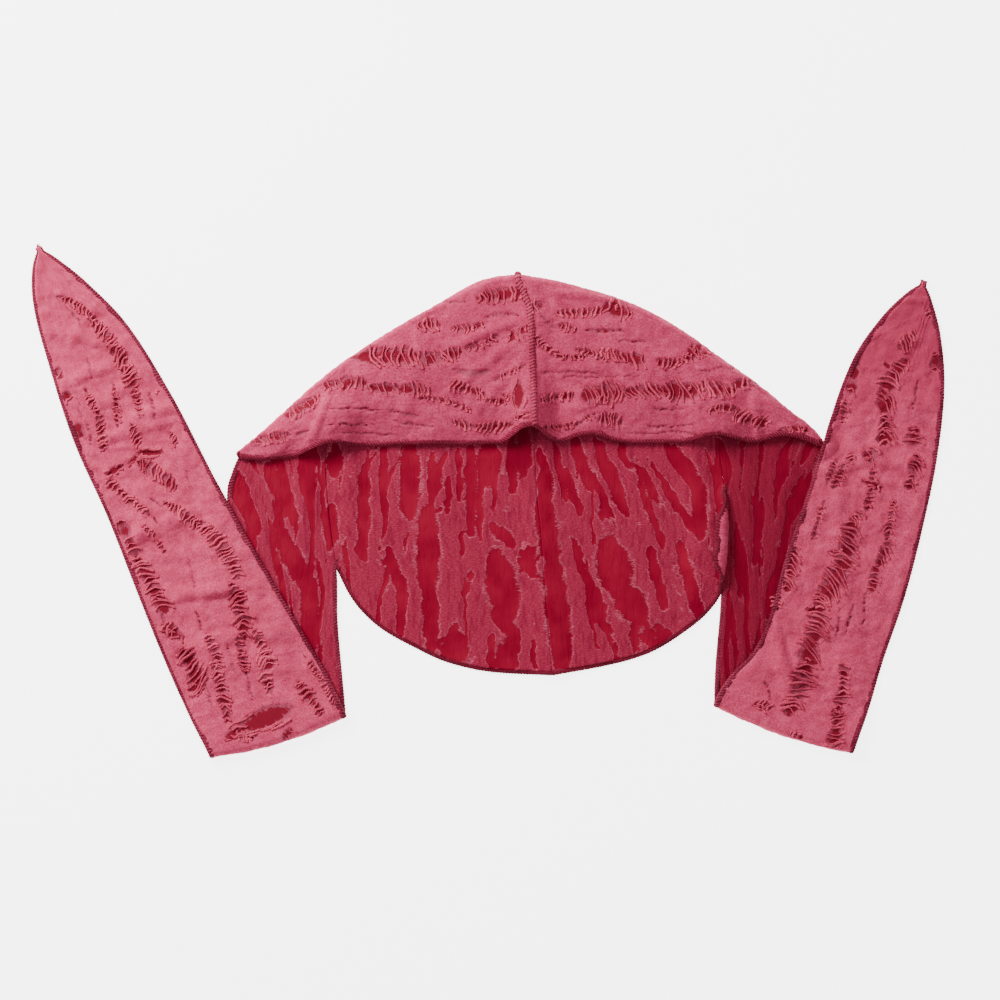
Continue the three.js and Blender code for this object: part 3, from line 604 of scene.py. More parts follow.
right_strap_bands = [
    (916, 333, 899, 350, 0, 14, 0.95), (908, 360, 893, 373, 0, 15, 1.1), (897, 372, 880, 398, -1, 19, 1.15),
    (892, 396, 880, 411, 0, 20, 1.15), (884, 415, 884, 446, 2, 19, 1.15), (876, 449, 866, 461, 0, 15, 1.05),
    (872, 470, 872, 482, 0, 9, 0.8), (861, 481, 881, 489, 0, 8, 1.05), (872, 484, 866, 512, 0, 9, 0.9),
    (862, 512, 850, 524, 0, 11, 0.9), (851, 522, 840, 574, 2, 22, 1.15), (840, 568, 822, 600, 1, 24, 1.15),
    (820, 594, 813, 642, 2, 24, 1.15), (812, 638, 806, 670, 0, 24, 1.15), (806, 664, 794, 700, 2, 26, 1.15),
    (793, 699, 787, 717, 0, 15, 1.05),
    (789, 733, 802, 737, 1, 6, 1.0), (857, 360, 850, 396, 0, 12, 1.0), (846, 400, 842, 424, 0, 9, 0.7),
    (935, 352, 936, 371, 0, 12, 1.05), (926, 310, 930, 318, 0, 5, 0.8), (915, 427, 912, 447, 0, 16, 1.1),
    (918, 454, 908, 490, 1, 15, 1.05), (852, 453, 848, 464, 0, 9, 0.85), (845, 463, 832, 489, 0, 9, 0.75),
    (894, 500, 886, 540, 0, 8, 0.7), (890, 540, 878, 566, 0, 12, 1.05), (876, 566, 870, 594, 1, 11, 1.0),
    (843, 664, 839, 706, 2, 16, 1.1), (838, 704, 832, 748, 1, 15, 1.1), (795, 545, 786, 592, 1, 14, 1.1),
    (776, 596, 776, 611, 0, 11, 1.0), (752, 705, 771, 709, 4, 6, 1.05), (840, 608, 836, 638, 0, 4, 0.65),
    (852, 604, 846, 634, 0, 4, 0.6), (866, 590, 862, 624, 0, 4, 0.6), (764, 680, 772, 700, 0, 4, 0.6),
    (918, 380, 912, 410, 0, 4, 0.6), (824, 500, 812, 540, 0, 8, 0.7), (836, 460, 826, 486, 0, 8, 0.75),
]

# %% Holes right down to the satin, and long tears: middle, length, width, tilt in degrees
front_holes = [
    (519, 396, 31, 13, 86), (513, 337, 13, 8, 78), (614, 304, 14, 7, 75), (345, 387, 11, 6, 80),
    (375, 389, 6, 4, 60), (391, 390, 7, 4, 70), (410, 391, 8, 5, 60), (382, 361, 12, 5, 60),
    (505, 298, 9, 6, 80), (517, 300, 8, 5, 70), (604, 398, 17, 8, 75), (672, 387, 10, 9, 20),
    (691, 390, 13, 5, 60), (690, 351, 16, 6, 70), (641, 360, 9, 5, 60), (735, 384, 8, 4, 60),
    (521, 330, 7, 4, 40), (522, 417, 12, 4, 35), (704, 384, 8, 4, -40),
]
left_strap_holes = [
    (266, 718, 66, 24, 22), (238, 731, 22, 8, 18), (150, 453, 32, 8, 0), (135, 459, 20, 6, 38),
    (115, 470, 22, 8, 30), (194, 688, 12, 8, 20), (289, 733, 9, 5, 30), (171, 634, 22, 6, -10),
    (232, 738, 14, 4, -5), (252, 737, 12, 3, 15),
]
right_strap_holes = [
    (815, 610, 21, 8, 0), (811, 662, 19, 6, -12), (871, 484, 22, 5, -20), (887, 366, 10, 6, -40),
    (884, 433, 17, 5, 0), (838, 552, 22, 5, -3), (867, 455, 12, 7, 20), (761, 707, 16, 4, -30),
    (796, 676, 16, 5, -15), (914, 431, 14, 5, -10), (836, 713, 12, 4, -20),
]
band_lists = {"front": front_bands, "left": left_strap_bands, "right": right_strap_bands}
hole_lists = {"front": front_holes, "left": left_strap_holes, "right": right_strap_holes}
print("torn bands:", {layer: len(rows) for layer, rows in band_lists.items()})


# %% How torn one band makes each place
run_half = 1.5
ladder_half = 2.5


def band_frame(band):
    """Start, length and both directions of a band, its bow, its half width and how open it is."""
    x0, y0, x1, y1, bow, wide, openness = band
    start = seen(x0, y0)
    end = seen(x1, y1)
    length = np.linalg.norm(end - start)
    along = (end - start) / length
    across = np.array([-along[1], along[0]])
    return start, length, along, across, bow * pixel_size, wide * pixel_size / 2, openness


def band_half_width(half, share, length, number):
    ends = np.sqrt(np.clip(1 - (2 * share - 1) ** 4, 0, 1))
    return half * ends * (0.95 + 0.5 * noise(share * length / 7, share * 0 + number * 3.7, 7))


def band_openness(number, band, x, y):
    """Above 0 inside the band and -1 past its ends. Bands narrower than a run wander and break off."""
    start, length, along, across, bow, half, openness = band_frame(band)
    dx = x - start[0]
    dy = y - start[1]
    share = (dx * along[0] + dy * along[1]) / length
    middle = bow * 4 * share * (1 - share)
    if half < run_half:
        middle = middle + 1.4 * noise(share * length / 5, np.full(share.shape, number * 2.3), 11)
    aside = dx * across[0] + dy * across[1] - middle
    reach = np.maximum(band_half_width(half, clamp(share), length, number), 0.01)
    rough, run = (0.55, 5) if half > ladder_half else (1.7, 1.5)
    patchy = 0.8 + rough * noise(share * length / run, np.full(share.shape, number * 3.1), 8)
    shape = np.maximum(1 - (aside / reach) ** 2, -1)
    return np.where((share > 0) & (share < 1), openness * np.maximum(patchy, 0.1) * shape, -1)


print("longest band:", round(max(band_frame(band)[1] for band in front_bands)), "mm")


# %% How torn the knit is at each place
most_torn = 1.6


def hole_frame(hole, x, y):
    """How far a place lies along a hole and across it, as shares of half its length and width."""
    px, py, length, width, tilt = hole
    middle = seen(px, py)
    turn = math.radians(tilt)
    dx = x - middle[0]
    dy = y - middle[1]
    u = (dx * math.cos(turn) + dy * math.sin(turn)) / (length * pixel_size / 2)
    v = (dy * math.cos(turn) - dx * math.sin(turn)) / (width * pixel_size / 2)
    return u, v


def torn_field(layer, x, y):
    torn = np.full(x.shape, -1.0)
    for number, band in enumerate(band_lists[layer]):
        torn = np.maximum(torn, band_openness(number, band, x, y))
    frayed = 0.25 * noise(x / 2.6, y / 2.6, 9) + 0.15 * noise(x / 1.2, y / 1.2, 10)
    for hole in hole_lists[layer]:
        u, v = hole_frame(hole, x, y)
        torn = np.maximum(torn, most_torn * (1 - u * u - np.abs(v) ** 1.3 + frayed))
    return np.clip(torn, -1, most_torn)


def in_hole(layer, place):
    frames = [hole_frame(hole, *place) for hole in hole_lists[layer]]
    return any(u * u + v * v < 0.8 for u, v in frames)


print("the large hole of the left strap is open:", in_hole("left", seen(266, 718)))

# %% [markdown]
# ## Soft folds
# Cloth that has just been laid down keeps low creases that catch the light. A bump texture could fake them,
# but they are wider than the cloth is thick and show from the side, so they move the mesh. Each row is one
# crease: its two ends and its width in pixels of the photograph, and its height in millimetres.

# %% Creases of the forehead layer and of the straps
creases = {
    "front": [
        (331, 388, 311, 446, 9, 1.3), (752, 392, 758, 440, 9, 1.3), (528, 318, 455, 345, 9, 1.1),
        (528, 330, 440, 400, 10, 0.9), (530, 350, 470, 420, 9, 0.6), (545, 345, 600, 430, 14, 0.7),
        (590, 325, 660, 430, 14, 0.5), (420, 350, 395, 440, 15, 0.7), (505, 276, 470, 292, 7, 0.8),
        (545, 292, 620, 300, 8, 0.9), (700, 385, 690, 440, 12, 0.6), (470, 380, 480, 440, 12, 0.7),
    ],
    "left": [
        (62, 384, 118, 362, 12, 1.0), (60, 330, 130, 350, 13, 0.8), (124, 424, 190, 398, 13, 1.0),
        (118, 540, 208, 508, 15, 0.9), (168, 596, 244, 586, 13, 1.4), (96, 300, 70, 350, 13, 0.7),
        (100, 440, 170, 420, 12, 0.8), (150, 560, 230, 545, 16, 0.8), (90, 410, 150, 372, 14, 0.7),
        (200, 640, 290, 630, 12, 0.6), (225, 690, 330, 700, 10, 0.6), (150, 500, 130, 560, 9, 0.5),
        (300, 640, 330, 700, 8, 0.7),
    ],
    "right": [
        (840, 440, 900, 470, 11, 0.9), (774, 630, 792, 706, 13, 1.7), (850, 440, 880, 500, 12, 0.7),
        (860, 330, 930, 345, 12, 0.7), (820, 470, 870, 460, 12, 0.7), (850, 560, 890, 610, 13, 0.7),
        (790, 520, 840, 560, 9, 0.6), (900, 480, 930, 520, 8, 0.6), (770, 690, 850, 720, 12, 0.5),
        (900, 300, 930, 300, 7, 0.5),
    ],
}
print("creases:", {layer: len(rows) for layer, rows in creases.items()})


# %% Height of the creases, and of the slow waves and wrinkles between them
def crease_height(layer, x, y):
    height = np.zeros(x.shape)
    for x0, y0, x1, y1, width, rise in creases[layer]:
        start = seen(x0, y0)
        run = seen(x1, y1) - start
        share = ((x - start[0]) * run[0] + (y - start[1]) * run[1]) / (run @ run)
        near = start[0] + run[0] * clamp(share) - x, start[1] + run[1] * clamp(share) - y
        aside = np.hypot(*near) / (width * pixel_size * 0.75)
        height = height + 1.5 * rise * bump(aside) * ease(1.3 - np.abs(2 * share - 1))
    slow = 1.0 * noise(x / 34, y / 34, 21) + 0.8 * noise(x / 15, y / 15, 22) + 0.4 * noise(x / 6, y / 6, 23)
    wrinkle = clamp(1 - 3.2 * np.abs(noise(x / 38 + 0.3 * noise(x / 12, y / 12, 24), y / 24, 25))) ** 2
    return height + slow + 0.75 * wrinkle * clamp(0.5 + noise(x / 50, y / 50, 26))


# %% [markdown]
# ## The reverse of the cloth
# Inside, the knit shows through the satin as raised heathered patches with ragged, lighter outlines. They
# run down the cloth like flames, fanning out from the crown. A noise texture alone would give clouds, so
# noise is stretched and bent to a fan first, and the bare streaks that the eye picks out are listed one by
# one. The field below is above zero on a patch.

# %% How the flames fan out, and the streaks of bare satin: both ends and the width, in pixels
fan = {
    "from": [-340, -290, -250, -205, -190, -120, 0, 120, 170, 195, 240, 290, 400],
    "bend": [-0.5, -0.6, -0.45, 0.1, 0.35, 0.85, 1, 1, 0.9, 0.2, -0.3, -0.6, -0.6],
}
streaks = [
    (268, 468, 295, 517, 14), (236, 484, 257, 530, 12), (277, 527, 307, 589, 16), (310, 580, 311, 650, 16),
    (301, 470, 303, 482, 6), (323, 464, 323, 519, 5), (335, 449, 335, 472, 15), (364, 468, 364, 557, 11),
    (331, 509, 331, 545, 13), (384, 449, 384, 494, 7), (410, 449, 410, 513, 18), (432, 455, 432, 513, 8),
    (448, 478, 448, 512, 6), (471, 449, 471, 532, 11), (489, 449, 489, 478, 22), (428, 513, 428, 593, 20),
    (430, 590, 432, 650, 14), (362, 532, 362, 556, 10), (388, 550, 405, 600, 10), (401, 593, 401, 633, 9),
    (496, 560, 508, 615, 26), (492, 526, 513, 544, 10), (495, 613, 518, 637, 12), (491, 636, 491, 670, 7),
    (509, 637, 509, 670, 7), (462, 532, 462, 556, 4), (465, 575, 465, 659, 3), (543, 500, 552, 560, 18),
    (552, 560, 563, 668, 20), (545, 471, 545, 504, 14), (566, 471, 580, 513, 8), (598, 455, 620, 490, 12),
    (612, 490, 627, 513, 10), (608, 548, 620, 590, 30), (622, 590, 640, 618, 24), (634, 616, 634, 650, 8),
    (586, 559, 587, 608, 3), (587, 608, 598, 648, 3), (593, 486, 593, 544, 3), (602, 470, 620, 489, 7),
    (639, 480, 663, 547, 7), (661, 481, 700, 538, 8), (674, 449, 694, 481, 12), (698, 481, 700, 533, 14),
    (680, 545, 700, 620, 11), (650, 550, 664, 606, 10), (511, 438, 513, 490, 9), (525, 436, 524, 472, 13),
    (540, 450, 546, 480, 8), (554, 444, 566, 500, 7), (574, 440, 590, 486, 12), (596, 440, 606, 462, 8),
    (497, 462, 493, 510, 5), (459, 450, 459, 500, 5), (481, 470, 480, 540, 5),
]
print("streaks of bare satin:", len(streaks))


# %% Flame-like patches of the reverse
streak_share = 0.36
fan_top = (530, 440)
fan_reach = 257
nape_span = (-215, 185)


def streak_edge(x, y):
    """Distance to the nearest streak of bare satin, as a share of its half width, less one."""
    nearest = np.full(x.shape, 9.0)
    bent_x = x + 1.6 * noise(x / 6, y / 9, 35) + 0.8 * noise(x / 2.2, y / 2.8, 36)
    for x0, y0, x1, y1, width in streaks:
        start = seen(x0, y0)
        run = seen(x1, y1) - start
        share = clamp(((x - start[0]) * run[0] + (y - start[1]) * run[1]) / (run @ run))
        aside = np.hypot(bent_x - start[0] - share * run[0], (y - start[1] - share * run[1]) * 0.8)
        half = width * streak_share * (0.45 + 0.55 * np.sqrt(clamp(4 * share * (1 - share)) + 0.1))
        nearest = np.minimum(nearest, aside / half)
    return nearest - 1


def patch_field(x, y):
    px = x / pixel_size + photo_middle[0] - fan_top[0]
    down = np.clip(photo_middle[1] - y / pixel_size - fan_top[1], -150, 400)
    bend = read_table(fan, "from", "bend", px)
    u = px * (1 - bend * down / (fan_reach + np.maximum(down, -60))) * pixel_size
    v = down * pixel_size
    drift = 3.5 * noise(u / 16, v / 22, 31)
    wide = noise((u + drift) / 10.5, v / 52, 32)
    narrow = noise((u + drift) / 5.6, v / 30, 33)
    ragged = noise(u / 2.6, v / 4.2, 34)
    upper = ease(1 - v / 70)
    flames = wide * mix(1, 0.6, upper) + narrow * mix(0.42, 0.8, upper) + 0.2 * ragged
    on_nape = (px > nape_span[0]) & (px < nape_span[1])
    return np.minimum(flames + np.where(on_nape, 0.42, 0.12), 0.35 * streak_edge(x, y) + 0.05 * ragged)


# %% [markdown]
# ## Materials
# The cloth has two faces. Outside is a viscose jersey, knitted from a heathered rose yarn, matt and a
# little furry. Inside is a crimson polyester satin, and the jersey bonded to it shows through as raised
# patches. The marks could be painted on a picture and wrapped round, but here they come from noise and from
# attributes of the mesh: they stay sharp close up, and they follow the cloth round its folds.

# %% Colours, and one function that adds a node
# Smooth makes a Map Range node step softly, and paint makes a Mix node blend two colours.
smooth = {"interpolation_type": "SMOOTHSTEP"}
paint = {"output": 2, "data_type": "RGBA"}
attribute_node = "ShaderNodeAttribute"
noise_node = "ShaderNodeTexNoise"
mapping_node = "ShaderNodeMapping"
range_node = "ShaderNodeMapRange"
math_node = "ShaderNodeMath"
mix_node = "ShaderNodeMix"
bump_node = "ShaderNodeBump"


def linear(hex_color):
    """An sRGB hex colour as the linear values that a shader takes."""
    parts = [int(hex_color[k:k + 2], 16) / 255 for k in (1, 3, 5)]
    return [part / 12.92 if part <= 0.04045 else ((part + 0.055) / 1.055) ** 2.4 for part in parts] + [1.0]


def set_inputs(tree, node, inputs):
    """Link each input that is given a socket, and set each one that is given a value."""
    for socket, value in inputs.items():
        if isinstance(value, bpy.types.NodeSocket):
            tree.links.new(value, node.inputs[socket])
        else:
            node.inputs[socket].default_value = value


def add(tree, kind, inputs, output=0, **settings):
    """Add one node with its settings, fill its inputs, and give back one of its outputs."""
    made = tree.nodes.new(kind)
    for name, value in settings.items():
        setattr(made, name, value)
    set_inputs(tree, made, inputs)
    return made.outputs[output]


def new_material(name):
    material = bpy.data.materials.new(name)
    material.use_nodes = True
    return material, material.node_tree, material.node_tree.nodes["Principled BSDF"]


print("rose in linear light:", [round(part, 3) for part in linear("#ce3d60")])

# %% [markdown]
# ### Rose viscose jersey
# A single jersey has loops about 0.7 mm wide. That is one pixel here, so they are drawn 1.25 mm wide. The
# yarn is heathered: fibres of a light and a dark rose are spun together, and the eye sees a soft mottle.
# Rows of loops that have begun to run show as darker dashes. Where the cloth is torn the colour sinks to
# a deep rose, because the loops are gone and the ground of the cloth is in shade. Loops could be modelled
# one by one, but there are tens of thousands of them, so noise on the cloth's own lengthwise and crosswise
# places stands for them.

# %% Sizes in millimetres and colours of the jersey
loop_size = 1.25
heather_size = 6.25
worn_row_size = 1.1
washed_size = 22
fray_size = 1.05
# The mauve below is a painted shade colour for the knit.
shade_mauve = "#a02746"
worn_rose = "#8b233b"
torn_lip = "#902039"
shallow_ground = "#b44e68"
deep_ground = "#7c0f26"


def jersey_tone(tree, cloth, loops, base, light, deep):
    """Heathered yarn in two tones, washed out unevenly."""
    heather = add(tree, noise_node, {"Vector": cloth, "Scale": 1 / heather_size, "Detail": 4,
                                     "Roughness": 0.6})
    washed = add(tree, noise_node, {"Vector": cloth, "Scale": 1 / washed_size, "Detail": 3,
                                    "Roughness": 0.55})
    tone = add(tree, mix_node, {0: 0.7, 2: heather, 3: loops})
    tone = add(tree, range_node, {0: tone, 1: 0.36, 2: 0.66}, **smooth)
    color = add(tree, mix_node, {0: tone, 6: linear(deep), 7: linear(light)}, **paint)
    color = add(tree, mix_node, {0: 0.25, 6: color, 7: linear(base)}, **paint)
    washed = add(tree, range_node, {0: washed, 1: 0.35, 2: 0.65, 4: 0.3}, **smooth)
    return add(tree, mix_node, {0: washed, 6: color, 7: linear(deep)}, **paint)


# %% Tears of the jersey: a darker lip, then the ground of the cloth
def torn_open(tree, cloth, color):
    """Give the colour with its tears, and how open the knit is."""
    torn = add(tree, attribute_node, {}, "Fac", attribute_name="torn")
    fray = add(tree, noise_node, {"Vector": cloth, "Scale": 1 / fray_size, "Detail": 3, "Roughness": 0.7})
    edge = add(tree, math_node, {0: fray, 1: 1.1, 2: torn}, operation="MULTIPLY_ADD")
    near = add(tree, range_node, {0: edge, 1: 0.4, 2: 0.85, 4: 0.3}, **smooth)
    color = add(tree, mix_node, {0: near, 6: color, 7: linear(torn_lip)}, **paint)
    open_here = add(tree, range_node, {0: edge, 1: 0.75, 2: 0.97}, **smooth)
    depth = add(tree, range_node, {0: edge, 1: 0.85, 2: 1.35}, **smooth)
    ground = add(tree, mix_node, {0: depth, 6: linear(shallow_ground), 7: linear(deep_ground)}, **paint)
    return add(tree, mix_node, {0: open_here, 6: color, 7: ground}, **paint), open_here


# %% Rose viscose jersey with its worn rows and ladders
def rose_jersey(name, base, light, deep, stretch):
    material, tree, shader = new_material(name)
    cloth = add(tree, attribute_node, {}, "Vector", attribute_name="cloth")
    painted_shade = add(tree, attribute_node, {}, "Fac", attribute_name="painted_shade")
    rows = add(tree, mapping_node, {"Vector": cloth, "Scale": stretch})
    loops = add(tree, noise_node, {"Vector": cloth, "Scale": 1 / loop_size, "Detail": 3, "Roughness": 0.75})
    worn = add(tree, noise_node, {"Vector": rows, "Scale": 1 / worn_row_size, "Detail": 2, "Roughness": 0.6})

    color = jersey_tone(tree, cloth, loops, base, light, deep)
    # Painted shade: the knit darkens towards mauve where the mesh marks painted shade.
    color = add(tree, mix_node, {0: painted_shade, 6: color, 7: linear(shade_mauve)}, **paint)
    dashes = add(tree, range_node, {0: worn, 1: 0.6, 2: 0.8, 4: 0.42}, **smooth)
    color = add(tree, mix_node, {0: dashes, 6: color, 7: linear(worn_rose)}, **paint)
    color, open_here = torn_open(tree, cloth, color)

    ribs = add(tree, math_node, {0: worn, 1: 0.5}, operation="MULTIPLY")
    ribs = add(tree, math_node, {0: loops, 1: 0.35, 2: ribs}, operation="MULTIPLY_ADD")
    height = add(tree, math_node, {0: ribs, 1: open_here}, operation="SUBTRACT")
    bumped = add(tree, bump_node, {"Strength": 0.7, "Distance": 0.6 * millimetre, "Height": height})
    set_inputs(tree, shader, {"Base Color": color, "Roughness": 0.85, "Sheen Weight": 0.04,
                              "Specular IOR Level": 0.1, "Normal": bumped})
    return material


crown_knit = rose_jersey("crown rose jersey", "#c0375b", "#d9547a", "#9f2545", (0.25, 1, 1))
strap_knit = rose_jersey("strap rose jersey", "#ce3d60", "#ea5b82", "#ad2d4c", (1, 0.25, 1))
print("jersey nodes:", len(crown_knit.node_tree.nodes))

# %% [markdown]
# ### Crimson polyester satin
# Satin reflects along its floating threads, so it looks smooth and deep where nothing lies on it. The
# bonded patches are matt and heathered, with a pale rim of loose fibre, broken here and there, and thin
# darker veins that run down the cloth. Two materials could share the sheet, but the ragged border would
# follow the mesh's faces, so one material mixes both by the height of the patch field.

# %% Sizes in millimetres and colours of the satin and its patches
fringe_size = 1.1
fleck_size = 1.0
shade_size = 20
vein_size = 3
rim_break_size = 9
deep_satin = "#820c26"
lit_satin = "#93152f"
deep_heather = "#8a1832"
even_heather = "#9c2844"
light_heather = "#b23c58"
vein_crimson = "#7c1530"
pale_rim = "#d96a84"
# Painted shade colour for the satin:
shade_crimson = "#6a0a1e"


def heathered_patch(tree, flecks, veins):
    light = add(tree, range_node, {0: flecks, 1: 0.4, 2: 0.68}, **smooth)
    heather = add(tree, mix_node, {0: light, 6: linear(deep_heather), 7: linear(light_heather)}, **paint)
    heather = add(tree, mix_node, {0: 0.2, 6: heather, 7: linear(even_heather)}, **paint)
    dark = add(tree, range_node, {0: veins, 1: 0.5, 2: 0.64, 4: 0.6}, **smooth)
    return add(tree, mix_node, {0: dark, 6: heather, 7: linear(vein_crimson)}, **paint)


# %% The pale rim of loose fibre round a patch
def fibre_rim(tree, cloth, field, raised, flecks):
    breaks = add(tree, noise_node, {"Vector": cloth, "Scale": 1 / rim_break_size})
    inner = add(tree, range_node, {0: field, 1: 0.2, 2: 0.31, 3: 1, 4: 0}, **smooth)
    lit = add(tree, range_node, {0: breaks, 1: 0.38, 2: 0.6, 3: 0.3})
    loose = add(tree, range_node, {0: flecks, 1: 0.35, 2: 0.65, 4: 0.8}, **smooth)
    rim = add(tree, math_node, {0: raised, 1: inner}, operation="MULTIPLY")
    for share in (lit, loose):
        rim = add(tree, math_node, {0: rim, 1: share}, operation="MULTIPLY")
    return rim


# %% Crimson polyester satin with its raised patches
def crimson_satin(name):
    material, tree, shader = new_material(name)
    cloth = add(tree, attribute_node, {}, "Vector", attribute_name="cloth")
    patch = add(tree, attribute_node, {}, "Fac", attribute_name="patch")
    painted_shade = add(tree, attribute_node, {}, "Fac", attribute_name="painted_shade")
    combed = add(tree, mapping_node, {"Vector": cloth, "Scale": (0.3, 1.2, 1)})
    slubs = add(tree, mapping_node, {"Vector": cloth, "Scale": (0.6, 1.6, 1)})
    falling = add(tree, mapping_node, {"Vector": cloth, "Scale": (1, 0.22, 1)})
    fringe = add(tree, noise_node, {"Vector": combed, "Scale": 1 / fringe_size, "Detail": 3,
                                    "Roughness": 0.65})
    flecks = add(tree, noise_node, {"Vector": slubs, "Scale": 1 / fleck_size, "Detail": 3,
                                    "Roughness": 0.75})
    veins = add(tree, noise_node, {"Vector": falling, "Scale": 1 / vein_size, "Detail": 4,
                                   "Roughness": 0.65})
    shade = add(tree, noise_node, {"Vector": cloth, "Scale": 1 / shade_size})
    shade = add(tree, range_node, {0: shade, 1: 0.3, 2: 0.7}, **smooth)
    satin = add(tree, mix_node, {0: shade, 6: linear(deep_satin), 7: linear(lit_satin)}, **paint)

    field = add(tree, math_node, {0: fringe, 1: 0.34, 2: patch}, operation="MULTIPLY_ADD")
    raised = add(tree, range_node, {0: field, 1: 0.155, 2: 0.2}, **smooth)
    color = add(tree, mix_node, {0: raised, 6: satin, 7: heathered_patch(tree, flecks, veins)}, **paint)
    rim = fibre_rim(tree, cloth, field, raised, flecks)
    color = add(tree, mix_node, {0: rim, 6: color, 7: linear(pale_rim)}, **paint)
    # Painted shade: the satin darkens where the mesh marks painted shade.
    shade_share = add(tree, math_node, {0: painted_shade, 1: 0.78}, operation="MULTIPLY")
    color = add(tree, mix_node, {0: shade_share, 6: color, 7: linear(shade_crimson)}, **paint)

    pile = add(tree, math_node, {0: flecks, 1: raised}, operation="MULTIPLY")
    height = add(tree, math_node, {0: pile, 1: 0.8, 2: raised}, operation="MULTIPLY_ADD")
    grooves = add(tree, range_node, {0: veins, 1: 0.45, 2: 0.7, 4: 0.7}, **smooth)
    height = add(tree, math_node, {0: height, 1: grooves}, operation="SUBTRACT")
    bumped = add(tree, bump_node, {"Strength": 0.6, "Distance": 0.5 * millimetre, "Height": height})
    rough = add(tree, range_node, {0: raised, 3: 0.7, 4: 0.9})
    set_inputs(tree, shader, {"Base Color": color, "Roughness": rough, "Specular IOR Level": 0.1,
                              "Specular Tint": linear("#e04a64"), "Normal": bumped})
    return material


satin_reverse = crimson_satin("crimson satin reverse")
print("satin nodes:", len(satin_reverse.node_tree.nodes))

# %% [markdown]
# ### Spun polyester thread
# Overlock and seam threads are spun from short fibres, so they are matt and furry like the cloth, and each
# length is dyed a little unevenly. The eye sees a small mottle of two tones of one colour. The twist could
# be modelled as plies, but a thread is one pixel wide here, so noise in the place of the thread is enough.

# %% Spun polyester thread in the colours of the stitches and the ladders
dye_drift = 17 * millimetre


def spun_thread(name, light, deep, twist_length):
    material, tree, shader = new_material(name)
    place = add(tree, "ShaderNodeTexCoord", {}, "Object")
    twist = add(tree, noise_node, {"Vector": place, "Scale": 1 / (twist_length * millimetre), "Detail": 3,
                                   "Roughness": 0.6})
    drift = add(tree, noise_node, {"Vector": place, "Scale": 1 / dye_drift})
    tone = add(tree, mix_node, {0: 0.4, 2: twist, 3: drift})
    tone = add(tree, range_node, {0: tone, 1: 0.35, 2: 0.65}, **smooth)
    color = add(tree, mix_node, {0: tone, 6: linear(deep), 7: linear(light)}, **paint)
    bumped = add(tree, bump_node, {"Strength": 0.5, "Distance": 0.2 * millimetre, "Height": twist})
    set_inputs(tree, shader, {"Base Color": color, "Roughness": 0.8, "Specular IOR Level": 0.1,
                              "Normal": bumped})
    return material


ladder_yarn = spun_thread("rose ladder yarn", "#da5070", "#a22c46", 1.1)
ridge_yarn = spun_thread("seam ridge yarn", "#b04a62", "#8c2c44", 1.1)
seam_yarn = spun_thread("rose seam yarn", "#cb4264", "#902540", 1.1)
core_yarn = spun_thread("dark rose core yarn", "#862840", "#5c1226", 0.9)
hem_yarn = spun_thread("rose overlock yarn", "#be3958", "#861934", 0.9)
overlock_yarn = spun_thread("mauve overlock yarn", "#a83c56", "#74182f", 0.9)
tail_yarn = spun_thread("crimson overlock yarn", "#8b162f", "#5b0a19", 0.9)
print("yarns:", ", ".join(material.name for material in bpy.data.materials if "yarn" in material.name))

# %% [markdown]
# ## The four pieces of cloth
# The crown is two panels and each strap is one more piece, all of the same bonded cloth. Each piece starts
# as a flat grid with as many cells as its relief needs. Its vertices are carried to the laid shape with the
# functions above, cells outside the cut are deleted, and a Solidify modifier gives the wall its thickness,
# with the knit on one face and the satin on the other. Last, the torn places sink into the knit face and
# the patches rise from the satin face. A cloth simulation could find the lie, but the folds have to match a
# photograph, so the lie is modelled directly.

# %% Helpers that select one object and that read and write its mesh
def only(piece):
    bpy.ops.object.select_all(action="DESELECT")
    piece.select_set(True)
    bpy.context.view_layer.objects.active = piece


def read_vertices(mesh, key):
    """The places of the vertices for the key co, and their normals for the key normal."""
    flat = np.empty(len(mesh.vertices) * 3)
    mesh.vertices.foreach_get(key, flat)
    return flat.reshape(-1, 3)


def put_places(mesh, places):
    mesh.vertices.foreach_set("co", np.asarray(places, float).ravel())
    mesh.update()


def write_attribute(mesh, name, values):
    values = np.asarray(values, np.float32)
    kind, key = ("FLOAT", "value") if values.ndim == 1 else ("FLOAT_VECTOR", "vector")
    mesh.attributes.new(name, kind, "POINT").data.foreach_set(key, values.ravel())


def read_attribute(mesh, name):
    attribute = mesh.attributes[name]
    width, key = (1, "value") if attribute.data_type == "FLOAT" else (3, "vector")
    values = np.empty(len(mesh.vertices) * width, np.float32)
    attribute.data.foreach_get(key, values)
    return values.astype(float).reshape(-1, width)


# %% A flat grid with one lane for each step across and one row for each step along
def steps(start, end, count):
    """Even steps up to the end, without the start, so that stretches can follow each other."""
    return np.linspace(start, end, count + 1)[1:]


panel_lanes = np.concatenate([np.linspace(0, 1, 109) * side_share, steps(side_share, 1, 52)])
panel_rows = np.concatenate([[0], steps(0, 1, 100), steps(1, 2, 12), steps(2, 3, 49), steps(3, 4, 130)])
strap_lanes = np.linspace(0, 1, 82)
strap_rows = np.concatenate([[0], steps(0, 1, 130), steps(1, 2, 10), steps(2, 3, 305)])
print("lanes and rows of a panel:", len(panel_lanes), len(panel_rows))
print("lanes and rows of a strap:", len(strap_lanes), len(strap_rows))


def flat_grid(name, lanes, rows):
    """Give the grid and, for each of its vertices, the value of its lane and of its row."""
    bpy.ops.object.select_all(action="DESELECT")
    bpy.ops.mesh.primitive_grid_add(x_subdivisions=len(lanes) - 1, y_subdivisions=len(rows) - 1, size=1)
    piece = bpy.context.object
    piece.name = name
    piece.data.name = name
    places = read_vertices(piece.data, "co")
    lane = np.rint((places[:, 0] + 0.5) * (len(lanes) - 1)).astype(int)
    row = np.rint((places[:, 1] + 0.5) * (len(rows) - 1)).astype(int)
    return piece, lanes[lane], rows[row]


